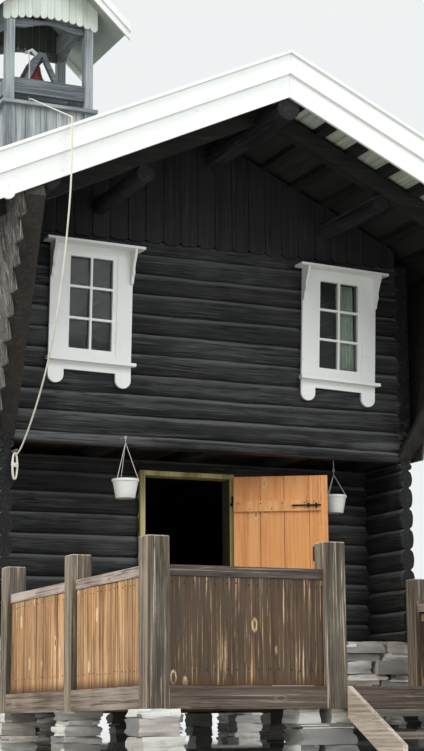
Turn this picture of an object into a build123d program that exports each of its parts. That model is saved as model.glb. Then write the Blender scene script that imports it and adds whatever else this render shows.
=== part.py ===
from build123d import *
import math
import os

# Log storehouse on stone piers, with a jettied upper storey, a platform and a bell tower.
# Millimetres. X runs along the gable to the right, Y into the house, Z up from the ground.
# Places are first set from the front face of the upper storey at Y = 0, and save() then
# moves everything so that the origin is under the middle of the whole object.

# Log walls
wall = 150                  # thickness of a log wall at the crest of its logs
log_hollow = 20             # depth of the hollow between two logs, below the crest
half_width = 2240           # centre line to the outer face of a side wall
front_recess = 740          # how far the lower front wall stands back under the jetty
house_length = 6900         # outer face of the upper front wall to that of the back wall
head_side = 150             # log ends past a side wall
head_back = 170             # log ends past the back wall
lower_base = 1050           # underside of the lowest logs
course_lower = 210          # height of a lower log
courses_lower = 8           # whole lower logs
head_log = 160              # thinner log on top of them
sill_log = 110              # thin log that edges the jetty
course_upper = 205          # height of an upper log
courses_upper = 9           # whole upper logs
top_log = 145               # thinner log on top of them
lower_top = lower_base + courses_lower * course_lower + head_log
upper_low = lower_top + sill_log
upper_top = upper_low + courses_upper * course_upper + top_log

# Stone piers under the house
pier_course = 210
stone_shift = 14            # how far a course may lie to one side
stone_shrink = 12           # how far a course may draw in
pier_out = 20               # front piers past the side walls
pier_front_width = 820
pier_front_start = 30
pier_front_past = 165       # front piers past the face of the lower front wall
pier_back_out = 60
pier_back_width = 740
pier_back_depth = 800
pier_mid_out = 50
pier_mid_width = 490
pier_mid_length = 620

# Floors
joist_width = 120
lower_joist_depth = 100
floor_board = 45
joist_pitch = 900
upper_joists = 5
stand_clear = 0.3           # pieces that stand beside each other without touching

# Doorway
door_half = 470             # half of the clear width
sill_rise = 165             # top of the door sill above the underside of the lowest logs
door_height = 1510
sill_depth = 65
head_depth = 47
jamb = 52
frame_front = 38            # frame ahead of the wall's crest
door_sill = lower_base + sill_rise
door_head = door_sill + door_height
frame_y = front_recess - frame_front

# Door leaf
leaf_gap = 12               # under the leaf
leaf_clear = 5              # closed leaf to the face of the frame
leaf_lap = 30               # free edge of the leaf past the side of the opening
leaf_over = 15              # leaf past the head of the opening
leaf_thick = 32
leaf_joints = (0.197, 0.463, 0.715)     # joints of the boards, as shares of the leaf from its free edge
leaf_groove = 5
groove_depth = 6
leaf_batten = 110
batten_thick = 28
batten_in = 40              # end of a batten inside the latch side of the opening
batten_clear = 5            # its other end off the hinge side
batten_drop = 255           # top of the leaf to the top of the upper batten
leaf_open = 150             # how far the leaf stands open, in degrees
leaf_low = door_sill + leaf_gap
leaf_high = door_head + leaf_over
leaf_left = -door_half - leaf_lap
leaf_right = door_half

# Hinges
hinge_side = 14             # hinge axis to the side of the opening
hinge_from_end = 230        # hinge to the top or foot of the leaf
hinge_pin = 6
hinge_barrel = 10
barrel_half = 30
pintle_boss = 8
pintle_rise = 28
pin_over = 6                # pin above its barrel
pin_clear = 0.4
strap_length = 620
strap_height = 44
strap_thick = 6
hinge_x = door_half + hinge_side
hinge_y = frame_y - leaf_clear - leaf_thick
hinge_heights = (leaf_low + hinge_from_end, leaf_high - hinge_from_end)

# Bolt on the leaf
bolt_radius = 8
bolt_length = 300
bolt_throw = 70
bolt_clear = 3              # round the bolt in the jamb
bolt_off = 6                # bolt off the batten
bolt_back = 35              # end of the drawn bolt inside the opening
bolt_mouth = 5              # depth past the thrown bolt
knob_back = 60
knob_length = 34
knob_radius = 6
keep_places = (40, 120)     # keeps from the end of the drawn bolt
keep_width = 22
keep_height = 40
keep_clear = 0.8
bolt_z = leaf_high - batten_drop - leaf_batten / 2
bolt_y = frame_y - leaf_clear + batten_thick + bolt_off + bolt_radius

# Steps at the door
door_step_rise = 230
door_step_half = 560
door_step_goings = (-60, 300)
door_step_clear = 8

# Windows
window_places = ((-1344, 1.2), (1380, 2.0))     # middle of each window, and degrees it has settled
window_rise = 925           # lowest glass above the jetty
pane_half = 222             # half of the glazed width
pane_height = 920           # glazed height
sash_rail = 45
sash_thick = 38
sash_ahead = 24             # face of the sash ahead of the wall's crest
muntin = 22
lining = 30
casing_width = 160
casing_thick = 30
head_board = 65             # board over the sash
window_cap = 25
cap_reach = 140
cap_side = 80
sill_drop = 65              # sash to the top of the sill
window_sill = 30
sill_reach = 70
sill_side = 30
apron = 105                 # top of the sill to the foot of the apron
tongue_drop = 245           # top of the sill to the round ends of the casing
bracket_thick = 25
bracket_points = ((0, 0), (130, 0), (118, -60), (80, -130), (62, -190), (70, -235), (45, -265), (28, -330), (0, -350))
glass_thick = 4
glass_lap = 10
pane_low = lower_top + window_rise
pane_high = pane_low + pane_height
sash_half = pane_half + sash_rail
sash_low = pane_low - sash_rail
sash_high = pane_high + sash_rail
sill_top = sash_low - sill_drop
cap_low = sash_high + head_board

# Roof
pitch = 25.0
roof_seat = 145.5           # underside of the roof boards over the top of a side wall
roof_board = 40
roof_cover = 70
cover_past = 25             # slates past the boards at the eave
eave_half = 2860            # centre line to the eave
barge_front = -1750         # outer face of the lower bargeboard, in front of the house
overhang_back = 850
batten_depth = 55
batten_size = 80
batten_pitch = 345
batten_lap = 9              # side boarding under its batten
rafter_depth = 165
rafter_thick = 110
rafter_front = -1230
rafter_first = 1300
rafter_pitch = 1800
rafters_inside = 3
rafter_back = 500           # last rafter from the rear edge of the roof
rafter_short = 60           # rafter ends inside the eave
ridge_gap = 2               # half of the joint of two rafters
ridge_radius = 110
ridge_drop = 276            # ridge log's centre under the roof boards
ridge_back = 150            # rear end of the ridge log inside the edge of the roof
purlin_radius = 85
purlin_x = 1250
eave_log_radius = 80        # short logs that carry the roof's front edge
eave_log_x = 2330
slope = math.tan(math.radians(pitch))
lean_back = math.cos(math.radians(pitch))
soffit_apex = upper_top + roof_seat + half_width * slope
ridge_z = soffit_apex - ridge_drop
board_rise = roof_board / lean_back
cover_rise = roof_cover / lean_back
batten_rise = batten_depth / lean_back
rafter_rise = rafter_depth / lean_back

# Bargeboards and gables
barge_thick = 30
barge_low = soffit_apex - 173
barge_mid = soffit_apex + 53
barge_top = soffit_apex + 251
barge_lap = 20              # upper board over the lower one
barge_past = 30             # bargeboards past the eave
barge_cap = 26
cap_front = 25
cap_behind = 20
foot_in = 120               # carved foot inside the eave
foot_up = 38
foot_radius = 62
gable_board = 30
gable_lap = 40              # gable boards below the top of the wall
gable_in = 10               # gable boards inside the side walls
tongue = 185
tongue_notch = 22
notch_drop = 8
gable_low = upper_top - gable_lap

# Side boarding and its raking struts
boarding_rise = 15          # foot of the boarding above the jetty
boarding_gap = 30           # inner face of the boarding off the side wall at its foot
boarding_thick = 28
boarding_lean = 9.0
boarding_width = 170
boarding_front = 1670       # front edge of the boarding ahead of the house
boarding_back = 750
boarding_hang = 60          # boarding below a strut
boarding_notch = 2          # round the rafters
strut_width = 190
strut_thick = 75
strut_head_share = 1.4      # head of a strut against its foot
strut_rise = 120            # upper edge of a strut's foot above the jetty
strut_in = 300              # strut's head from the eave
strut_under = 30
strut_reach_front = 1690    # head of a front strut ahead of the house
strut_reach_back = 640
boarding_low = lower_top + boarding_rise
strut_foot = lower_top + strut_rise

# Platform
post = 176
post_chamfer = 8
post_rise = 1114            # posts above the deck
post_rear_rise = 1154
platform_x = 2145           # centre of the corner posts
platform_front = -3603
platform_mid = -1942
platform_rear = -209
stair_post_x = 654
beam_low = 340
deck_top = 511
deck_board = 28
rear_beam = 120
landing_clear = 130         # landing to the face of the lower front wall
landing_side = 10           # landing off the front piers
deck_joist = 110
deck_joist_pitch = 820
deck_joists_side = 2        # joists each side of the middle one
deck_pier = 400
deck_course = 110
stair_pier = 560            # width of the piers under the stair posts
stair_pier_out = 60         # their middle outside the posts
small_pier = 260
small_pier_back = 10
rear_pier_shift = 50
joist_clear = 5
post_half = post / 2
post_top = deck_top + post_rise
post_rear_top = deck_top + post_rear_rise
deck_under = deck_top - deck_board

# Fence
fence_board = 174
fence_thick = 24
fence_gap = 4
fence_scrap = 30            # narrowest last board
fence_off = 3               # boards above the deck
fence_out = 45              # outer face of the boards from the middle of the posts
rail_rise = 899             # top of the rail above the deck
rail_thick = 80
rail_width = 105
stretcher_thick = 40
stretcher_height = 85
stretcher_under = 10        # upper stretcher under the rail
stretcher_low = 160         # top of the lower stretcher above the foot of the boards
rail_top = deck_top + rail_rise
fence_low = deck_top + fence_off
fence_high = rail_top - rail_thick

# Stair
stringer = 40
stringer_depth = 215
stair_slope = 28.0
stair_run = 834             # foot of the stringers ahead of the posts
tread_thick = 55
tread_drops = (178, 350)    # tread tops below the deck
tread_reaches = (234, 549)  # tread noses ahead of the posts
tread_lap = 10
post_face = platform_front - post_half

# Bell tower
tower_y = 5760
tower_half = 541            # centre line to the centre of a post
tower_post = 114
tower_rise = 1869.6         # tower floor above the ridge of the slates
tower_floor_thick = 45
tower_floor_reach = 110
skirt_thick = 28
tower_rail_up = 120
tower_rail_depth = 205
tower_rail_thick = 80
tower_post_rise = 1159      # posts above the tower floor
arch_depth = 125            # lintel at its ends
arch_rise = 85
arch_flat = 60              # level part of the lintel's lower edge beside a post
arch_thick = 40
arch_in = 10                # lintel inside the middle of the posts
tower_gable_reach = 83      # outer face of the gable boards ahead of the post centres
tower_gable_side = 114
tower_gable_crown = 62      # lower edge of the gable boards at the middle, above the post tops
tower_gable_fall = 100      # how much lower it is at the ends
tower_gable_board = 26
tower_board = 98
scallop_gap = 1
tower_plate = 90            # width of the plates on the posts
plate_height = 273.5        # outer edge of a plate
tower_pitch = 43.0
tower_eave = 990
tower_roof_thick = 70
tower_barge_depth = 150
tower_barge_upper = 72
tower_barge_thick = 28
tower_barge_over = 12
tower_barge_past = 20
tower_verge = 330           # verge of the tower roof ahead of the post centres
tower_slope = math.tan(math.radians(tower_pitch))
tower_lean = math.cos(math.radians(tower_pitch))
tower_sill_top = soffit_apex + board_rise + cover_rise + tower_rise
skirt_top = tower_sill_top - tower_floor_thick
tower_rail_low = tower_sill_top + tower_rail_up
tower_rail_high = tower_rail_low + tower_rail_depth
tower_post_top = tower_sill_top + tower_post_rise
tower_apex = tower_post_top + plate_height + (tower_half + tower_plate / 2) * tower_slope

# Bell
bell_rise = 464             # bell's axis above the tower rails
bell_radius = 135
bell_height = 240
bell_wall = 14
clapper_radius = 7
clapper_ball = 26
clapper_up = 22             # middle of the clapper's ball above the lip
yoke_length = 330
yoke_width = 100
yoke_depth = 90
gudgeon = 11
trestle_y = 235
trestle_thick = 70
trestle_leg = 70
trestle_spread = 260
trestle_head = 45
sleeper_height = 70
lever_thick = 22
lever_points = ((18, -30), (18, 26), (-110, 118), (-205, 60), (-205, 20), (-118, 80), (-18, -30))
bell_axis_z = tower_rail_high + bell_rise

# Bell rope, held at the lever, over the bargeboard and at a peg on the corner
rope_diameter = 16
peg_radius = 12
peg_length = 130
peg_drop = 118              # peg below the jetty
hank_half = 34
hank_length = 263
hank_front = 105
hank_back = 48
hank_round = 20
peg_z = lower_top - peg_drop

# Hanging pots
pot_rim = 132
pot_base = 95
pot_height = 185
pot_wall = 5
strap_wire = 4
strap_knot = 60             # knot of the straps below the hook
hook_wire = 4
hook_ring = 16
pot_places = ((-1020, -150, lower_top + 70, 415), (1540, 420, lower_top - 40, 280))


def slab(x, y, z):
    """A squared piece between two corners, each side given as (low, high)."""
    size = Box(x[1] - x[0], y[1] - y[0], z[1] - z[0])
    return Pos((x[0] + x[1]) / 2, (y[0] + y[1]) / 2, (z[0] + z[1]) / 2) * size


def around(middle, half):
    """The range of one side from its middle and its half."""
    return middle - half, middle + half


def inside(a, b):
    """The two ends of a range in order."""
    return min(a, b), max(a, b)


def plate_y(points, y):
    """An outline of (x, z) points made solid from y[0] to y[1]."""
    outline = Polyline([(px, y[0], pz) for px, pz in points], close=True)
    return extrude(make_face(outline), amount=y[1] - y[0], dir=(0, 1, 0))


def plate_x(points, x):
    """An outline of (y, z) points made solid from x[0] to x[1]."""
    outline = Polyline([(x[0], py, pz) for py, pz in points], close=True)
    return extrude(make_face(outline), amount=x[1] - x[0], dir=(1, 0, 0))


def rod(start, end, radius):
    """A round bar from one point to another."""
    start, end = Vector(start), Vector(end)
    return Solid.make_cylinder(radius, (end - start).length, Plane(start, z_dir=end - start))


def upright(x, y, z, radius):
    """A round bar along Z."""
    return rod((x, y, z[0]), (x, y, z[1]), radius)


def along_y(x, y, z, radius):
    """A round bar along Y."""
    return rod((x, y[0], z), (x, y[1], z), radius)


def mirrored(shape):
    """The same piece on the other side of the centre line."""
    return mirror(shape, about=Plane.YZ)


def both(shape):
    """The piece and its mirror image."""
    return [shape, mirrored(shape)]


def union(pieces):
    """Several touching solids as one."""
    whole = pieces[0]
    for piece in pieces[1:]:
        whole = whole + piece
    return whole


def largest(shape):
    """The largest solid of a cut piece."""
    return max(shape.solids(), key=lambda s: s.volume)


def lower_levels():
    """Heights of the joints between the lower front logs."""
    levels = [lower_base + k * course_lower for k in range(courses_lower + 1)]
    return levels + [lower_top]


def upper_levels():
    """Heights of the joints between the upper front logs."""
    levels = [lower_top] + [upper_low + k * course_upper for k in range(courses_upper + 1)]
    return levels + [upper_top]


def between(levels):
    """Joints of the side walls, half a log above those of the front."""
    middles = [(a + b) / 2 for a, b in zip(levels, levels[1:])]
    return [levels[0]] + middles + [levels[-1]]


def log_wall(levels, near, far, place, reach):
    """A wall of logs: each face swells from joint to joint.

    near and far are the crests of the two faces, place turns (across, height) into a
    point, and reach is the vector along the wall.
    """
    edges = []
    for low, high in zip(levels, levels[1:]):
        middle = (low + high) / 2
        for crest, hollow in ((near, near + log_hollow), (far, far - log_hollow)):
            edges.append(ThreePointArc(place(hollow, low), place(crest, middle), place(hollow, high)))
    for level in (levels[0], levels[-1]):
        edges.append(Line(place(near + log_hollow, level), place(far - log_hollow, level)))
    reach = Vector(reach)
    return extrude(make_face(edges), amount=reach.length, dir=reach.normalized())


def front_logs(levels, y, x):
    """A wall along X between y[0] and y[1]."""
    return log_wall(levels, y[0], y[1], lambda a, z: (x[0], a, z), (x[1] - x[0], 0, 0))


def side_logs(levels, x, y):
    """A wall along Y between x[0] and x[1]."""
    return log_wall(levels, x[0], x[1], lambda a, z: (a, y[0], z), (0, y[1] - y[0], 0))


def cross_cut(solid, levels, column_x, column_y, upper_half):
    """Notch a wall where the other one crosses it, half a log deep in each log."""
    spread = 1
    for low, high in zip(levels, levels[1:]):
        middle = (low + high) / 2
        if upper_half:
            notch = slab(column_x, (column_y[0] - spread, column_y[1] + spread), (middle, high))
        else:
            notch = slab((column_x[0] - spread, column_x[1] + spread), column_y, (low, middle))
        solid = solid - notch
    return solid


parts = {}


def add(name, shapes):
    """File the solids of one node."""
    parts[name] = shapes if isinstance(shapes, list) else [shapes]


left_column = (-half_width, -half_width + wall)
right_column = (half_width - wall, half_width)
back_y = (house_length - wall, house_length)
recess_y = (front_recess, front_recess + wall)
upper_y = (0, wall)


# Stone piers
def pier_stones(x, y, top, course):
    """The (x, y, z) ranges of flat stones in courses, each a little different from the last."""
    count = max(1, round(top / course))
    step = top / count
    stones = []
    for k in range(count):
        shift = stone_shift * math.sin(2.4 * k + 1)
        shrink = stone_shrink * (1 + math.cos(1.7 * k + 1))
        stones.append(((x[0] + shrink + shift, x[1] - shrink + shift),
                       (y[0] + shrink - shift, y[1] - shrink - shift), (k * step, (k + 1) * step)))
    return stones


def stone_pier(x, y, top, course):
    """A dry stone pier."""
    return union([slab(*stone) for stone in pier_stones(x, y, top, course)])


front_pier_x = (half_width + pier_out - pier_front_width, half_width + pier_out)
front_pier_y = (pier_front_start, front_recess + pier_front_past)


def pier_face(z):
    """The foremost face of a front pier over a range of heights."""
    stones = pier_stones(front_pier_x, front_pier_y, lower_base, pier_course)
    return min(stone[1][0] for stone in stones if stone[2][0] < z[1] and stone[2][1] > z[0])


def build_piers():
    middle = (front_recess + house_length) / 2
    mid_x = half_width + pier_mid_out
    back_x = half_width + pier_back_out
    places = [(front_pier_x, front_pier_y),
              ((mid_x - pier_mid_width, mid_x), around(middle, pier_mid_length / 2)),
              ((back_x - pier_back_width, back_x), (house_length - pier_back_depth, house_length))]
    piers = []
    for x, y in places:
        piers += both(stone_pier(x, y, lower_base, pier_course))
    add("stone_piers", piers + platform_piers())


# Lower storey
def build_lower_walls():
    levels = lower_levels()
    ends = (-half_width - head_side, half_width + head_side)
    door_x = around(0, door_half + jamb)
    door_z = (door_sill - sill_depth, door_head + head_depth)
    front = front_logs(levels, recess_y, ends)
    back = front_logs(levels, back_y, ends)
    for column in (left_column, right_column):
        front = cross_cut(front, levels, column, recess_y, True)
        back = cross_cut(back, levels, column, back_y, True)
    add("lower_front_wall", [front & slab((ends[0] - 1, door_x[0]), recess_y, (0, lower_top)),
                             front & slab((door_x[1], ends[1] + 1), recess_y, (0, lower_top))])
    add("doorway_logs", [front & slab(door_x, recess_y, (door_z[1], lower_top)),
                         front & slab(door_x, recess_y, (0, door_z[0]))])
    add("lower_back_wall", back)
    side = side_logs(between(levels), left_column, (0, house_length + head_back))
    side = cross_cut(side, levels, left_column, recess_y, False)
    side = cross_cut(side, levels, left_column, back_y, False)
    add("lower_side_walls", both(side))


def build_floors():
    inner = half_width - wall - stand_clear
    y = (recess_y[1] + stand_clear, back_y[0] - stand_clear)
    top = lower_base + lower_joist_depth
    count = int((y[1] - y[0] - joist_width) // joist_pitch) + 1
    gap = (y[1] - y[0] - joist_width) / count
    places = [y[0] + k * gap for k in range(count + 1)]
    joists = [slab((-inner, inner), (p, p + joist_width), (lower_base, top)) for p in places]
    boards = [slab((-inner, inner), y, (top, top + floor_board))]
    upper_inner = (wall + stand_clear, back_y[0] - stand_clear)
    span = 2 * inner - joist_width
    rows = [-inner + k * span / (upper_joists - 1) for k in range(upper_joists)]
    joists += [slab((r, r + joist_width), upper_inner, (lower_top, upper_low)) for r in rows]
    boards.append(slab((-inner, inner), upper_inner, (upper_low, upper_low + floor_board)))
    add("floor_joists", joists)
    add("floor_boards", boards)


# Upper storey
def settled(shape, place):
    """Set a piece drawn on the centre line at a window, turned as the window has settled."""
    x, turn = place
    return Pos(x, 0, sill_top) * Rot(0, turn, 0) * Pos(0, 0, -sill_top) * shape


def window_hole():
    """The hole in the wall that takes the lining of a window."""
    return slab(around(0, sash_half + lining), (-1, wall + 1), (sash_low - lining, sash_high + lining))


def build_upper_walls():
    levels = upper_levels()
    ends = (-half_width, half_width)
    front = front_logs(levels, upper_y, ends)
    back = front_logs(levels, back_y, ends)
    for column in (left_column, right_column):
        front = cross_cut(front, levels, column, upper_y, True)
        back = cross_cut(back, levels, column, back_y, True)
    for place in window_places:
        front = front - settled(window_hole(), place)
    add("upper_front_wall", front)
    add("upper_back_wall", back)
    side = side_logs(between(levels), left_column, (0, house_length))
    side = cross_cut(side, levels, left_column, upper_y, False)
    side = cross_cut(side, levels, left_column, back_y, False)
    for place in rafter_places():
        side = side - sloped(-batten_rise - rafter_rise, roof_seat, (-eave_half, 0), (place, place + rafter_thick))
    add("upper_side_walls", both(side))


# Roof
roof_y = (barge_front + barge_thick, house_length + overhang_back)


def under_roof(x, drop=0):
    """Height of the underside of the roof boards at x, less a drop."""
    return soffit_apex - drop - abs(x) * slope


def roof_top(x):
    """Height of the slates at x."""
    return under_roof(x, -board_rise - cover_rise)


def sloped(low, high, x, y):
    """One slope's layer, from low to high above the underside of the roof boards."""
    points = [(x[0], under_roof(x[0], -low)), (x[1], under_roof(x[1], -low)),
              (x[1], under_roof(x[1], -high)), (x[0], under_roof(x[0], -high))]
    return plate_y(points, y)


def boarding_x(z):
    """Inner face of the leaning side boards at height z."""
    return half_width + boarding_gap + (z - boarding_low) * math.tan(math.radians(boarding_lean))


def boarding_high():
    """Where the outer face of the side boards meets the underside of the battens."""
    lean = math.tan(math.radians(boarding_lean))
    foot = boarding_x(0) + boarding_thick
    return (soffit_apex - batten_rise - foot * slope) / (1 + lean * slope)


def batten_places():
    """Inner edges of the battens: one over the side boarding, the others a pitch apart."""
    seat = boarding_x(boarding_high()) + boarding_thick - batten_lap
    inward = int((seat - batten_size) // batten_pitch)
    outward = int((eave_half - batten_size - seat) // batten_pitch)
    return [seat + k * batten_pitch for k in range(-inward, outward + 1)]


def build_roof():
    board = sloped(0, board_rise, (0, eave_half), roof_y)
    cover = sloped(board_rise, board_rise + cover_rise, (0, eave_half + cover_past), roof_y)
    add("roof_boards", board + mirrored(board))
    add("roof_slates", cover + mirrored(cover))
    battens = []
    for x in batten_places():
        battens += both(sloped(-batten_rise, 0, (x, x + batten_size), roof_y))
    add("roof_battens", battens)


def log_height(x, drop, radius):
    """Centre of a log that just meets the underside of what lies this far under the roof boards."""
    return under_roof(x, drop) - (radius + stand_clear) / lean_back


def purlin_height():
    """Centre of a purlin under the rafters."""
    return log_height(purlin_x, batten_rise + rafter_rise, purlin_radius)


def rafter_places():
    inner = [rafter_first + k * rafter_pitch for k in range(rafters_inside)]
    return [rafter_front] + inner + [house_length + overhang_back - rafter_back]


ridge_y = (roof_y[0], roof_y[1] - ridge_back)


def build_rafters():
    logs = [along_y(0, ridge_y, ridge_z, ridge_radius)]
    for side in (-1, 1):
        logs.append(along_y(side * purlin_x, (rafter_front, ridge_y[1]), purlin_height(), purlin_radius))
        logs.append(along_y(side * eave_log_x, (roof_y[0], rafter_front),
                            log_height(eave_log_x, batten_rise, eave_log_radius), eave_log_radius))
    add("roof_logs", logs)
    rafters = []
    for place in rafter_places():
        y = (place, place + rafter_thick)
        piece = sloped(-batten_rise - rafter_rise, -batten_rise, (ridge_gap, eave_half - rafter_short), y)
        rafters += both(largest(piece - along_y(0, roof_y, ridge_z, ridge_radius + stand_clear)))
    add("rafters", rafters)


def build_gables():
    half = half_width - wall - gable_in
    count = round(2 * half / tongue)
    gables = []
    for y in ((-gable_board, 0), (house_length, house_length + gable_board)):
        points = [(-half, gable_low), (half, gable_low), (half, under_roof(half, batten_rise)),
                  (0, under_roof(0, batten_rise)), (-half, under_roof(half, batten_rise))]
        board = plate_y(points, y)
        for k in range(count + 1):
            board = board - along_y(-half + k * 2 * half / count, y, gable_low - notch_drop, tongue_notch)
        board = board - along_y(0, y, ridge_z, ridge_radius + stand_clear)
        for side in (-1, 1):
            board = board - along_y(side * purlin_x, y, purlin_height(), purlin_radius + stand_clear)
        gables.append(board)
    add("gable_boards", gables)


def barge_profile(low, high, foot):
    """One bargeboard from the joint at the middle out to its foot, as (x, z) points."""
    joint = 1
    return [(joint, high - joint * slope), (foot, high - foot * slope),
            (foot, low - foot * slope), (joint, low - joint * slope)]


def carved_foot(y):
    """The lobe under the foot of the lower bargeboard."""
    x = eave_half - foot_in
    return along_y(x, y, barge_low - x * slope + foot_up, foot_radius)


def build_bargeboards():
    lower, upper = [], []
    foot = eave_half + barge_past
    for face, out in ((barge_front, -1), (house_length + overhang_back + barge_thick, 1)):
        y_low = inside(face, face - out * barge_thick)
        y_up = inside(face, face + out * barge_thick)
        y_cap = inside(face + out * (barge_thick + cap_front), face - out * (barge_thick + cap_behind))
        low_board = plate_y(barge_profile(barge_low, barge_mid + barge_lap, foot), y_low) + carved_foot(y_low)
        up_board = plate_y(barge_profile(barge_mid, barge_top, foot + barge_lap), y_up)
        cap = plate_y(barge_profile(barge_top, barge_top + barge_cap / lean_back, foot + 2 * barge_lap), y_cap)
        lower += both(low_board)
        upper += both(up_board + cap)
    add("lower_bargeboards", lower)
    add("upper_bargeboards", upper)


# Side boarding and struts
strut_head_z = under_roof(eave_half - strut_in, batten_rise) - strut_under


def strut_line(out, reach):
    """Height of a strut's upper edge where it is out past the house by this much."""
    return strut_foot + out / reach * (strut_head_z - strut_foot)


def build_boarding():
    start = -boarding_front
    end = house_length + boarding_back
    count = round((end - start) / boarding_width)
    width = (end - start) / count
    high = boarding_high()
    boards = []
    for k in range(count):
        y = (start + k * width, start + (k + 1) * width)
        low = boarding_low
        if y[1] < 0:
            low = max(low, strut_line(-y[1], strut_reach_front) - boarding_hang)
        if y[0] > house_length:
            low = max(low, strut_line(y[0] - house_length, strut_reach_back) - boarding_hang)
        points = [(boarding_x(low), low), (boarding_x(low) + boarding_thick, low),
                  (boarding_x(high) + boarding_thick, high), (boarding_x(high), high)]
        boards.append(plate_y(points, y))
    side = union(boards)
    for place in rafter_places():
        y = (place - boarding_notch, place + rafter_thick + boarding_notch)
        side = side - sloped(-batten_rise - rafter_rise - boarding_notch, 0, (0, eave_half), y)
    add("side_boarding", both(largest(side)))


def build_struts():
    low = strut_foot - strut_thick
    head_low = strut_head_z - strut_head_share * strut_thick
    leaning = [(boarding_x(low) - strut_width, low), (boarding_x(low), low),
               (boarding_x(strut_head_z), strut_head_z), (boarding_x(strut_head_z) - strut_width, strut_head_z)]
    struts = []
    for foot_y, reach in ((0, -strut_reach_front), (house_length, strut_reach_back)):
        edge = [(foot_y, low), (foot_y, strut_foot), (foot_y + reach, strut_head_z), (foot_y + reach, head_low)]
        body = plate_x(edge, (0, eave_half)) & plate_y(leaning, inside(foot_y, foot_y + reach))
        struts += both(body)
    add("eave_struts", struts)


# Windows
def cap_bracket(x):
    """The carved bracket that stands forward under the end of a window cap."""
    return plate_x([(-casing_thick - out, cap_low + up) for out, up in bracket_points], x)


def window_casing():
    """Casing boards, cap, sill, apron and the lining of the hole, all nailed as one."""
    outer = sash_half + casing_width
    face = (-casing_thick, 0)
    round_end = casing_width / 2
    tongue_z = sill_top - tongue_drop + round_end
    pieces = []
    for hand in (-1, 1):
        pieces.append(slab(inside(hand * sash_half, hand * outer), face, (tongue_z, cap_low)))
        pieces.append(along_y(hand * (sash_half + round_end), face, tongue_z, round_end))
        pieces.append(cap_bracket(inside(hand * outer, hand * (outer - bracket_thick))))
    pieces.append(slab(around(0, sash_half), face, (sash_high, cap_low)))
    pieces.append(slab(around(0, sash_half), face, (sill_top - apron, sash_low)))
    pieces.append(slab(around(0, outer + cap_side), (-casing_thick - cap_reach, 0), (cap_low, cap_low + window_cap)))
    pieces.append(slab(around(0, outer + sill_side), (-casing_thick - sill_reach, -casing_thick),
                       (sill_top - window_sill, sill_top)))
    hole = slab(around(0, sash_half), (-1, wall + 1), (sash_low, sash_high))
    sleeve = slab(around(0, sash_half + lining), (0, wall), (sash_low - lining, sash_high + lining))
    pieces.append(sleeve - hole)
    return union(pieces)


def window_sash():
    """One sash with a mullion and two bars, six panes in all."""
    y = (-sash_ahead, sash_thick - sash_ahead)
    frame = slab(around(0, sash_half), y, (sash_low, sash_high))
    pane = (pane_height - 2 * muntin) / 3
    for row in range(3):
        low = pane_low + row * (pane + muntin)
        for x in ((-pane_half, -muntin / 2), (muntin / 2, pane_half)):
            frame = frame - slab(x, (y[0] - 1, y[1] + 1), (low, low + pane))
    return frame


def build_windows():
    back = sash_thick - sash_ahead
    z = (sash_low + glass_lap, sash_high - glass_lap)
    glass = slab(around(0, sash_half - glass_lap), (back, back + glass_thick), z)
    add("window_casings", [settled(window_casing(), place) for place in window_places])
    add("window_sashes", [settled(window_sash(), place) for place in window_places])
    add("window_glass", [settled(glass, place) for place in window_places])


# Door
def build_door_frame():
    y = (frame_y, front_recess + wall)
    outer = door_half + jamb
    top = door_head + head_depth
    frame = union([slab((-outer, -door_half), y, (door_sill, top)),
                   slab((door_half, outer), y, (door_sill, top)),
                   slab((-door_half, door_half), y, (door_head, top)),
                   slab((-outer, outer), y, (door_sill - sill_depth, door_sill))])
    hole_end = -door_half + bolt_back - bolt_throw - bolt_mouth
    hole = rod((-door_half + bolt_mouth, bolt_y, bolt_z), (hole_end, bolt_y, bolt_z), bolt_radius + bolt_clear)
    add("door_frame", frame - hole)


def opened(shape):
    """Turn a piece of the closed leaf about the hinge to where it stands open."""
    return Pos(hinge_x, hinge_y, 0) * Rot(0, 0, leaf_open) * Pos(-hinge_x, -hinge_y, 0) * shape


def build_leaf():
    y = (hinge_y, hinge_y + leaf_thick)
    batten_x = (batten_in - door_half, door_half - batten_clear)
    leaf = slab((leaf_left, leaf_right), y, (leaf_low, leaf_high))
    for share in leaf_joints:
        place = leaf_left + share * (leaf_right - leaf_left)
        leaf = leaf - slab(around(place, leaf_groove / 2), (y[1] - groove_depth, y[1]), (leaf_low, leaf_high))
    for top in (leaf_high - batten_drop, leaf_low + batten_drop + leaf_batten):
        leaf = leaf + slab(batten_x, (y[1], y[1] + batten_thick), (top - leaf_batten, top))
    add("door_leaf", opened(leaf))
    straps, pintles = [], []
    for z in hinge_heights:
        face = (hinge_y - strap_thick, hinge_y)
        high = around(z, strap_height / 2)
        barrel = upright(hinge_x, hinge_y, around(z, barrel_half), hinge_barrel)
        strap = union([slab((leaf_right - strap_length, hinge_x), face, high), barrel])
        straps.append(opened(strap - upright(hinge_x, hinge_y, around(z, 2 * barrel_half), hinge_pin + pin_clear)))
        foot = (z - barrel_half - pin_over - pintle_rise, z - barrel_half - pin_over)
        pin = upright(hinge_x, hinge_y, (foot[0], z + barrel_half + pin_over), hinge_pin)
        boss = upright(hinge_x, hinge_y, foot, pintle_boss)
        arm = slab(around(hinge_x, pintle_boss), (hinge_y, frame_y), foot)
        pintles.append(union([pin, boss, arm]))
    add("door_pintles", pintles)
    add("door_irons", straps + build_bolt(y[1] + batten_thick))


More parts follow.
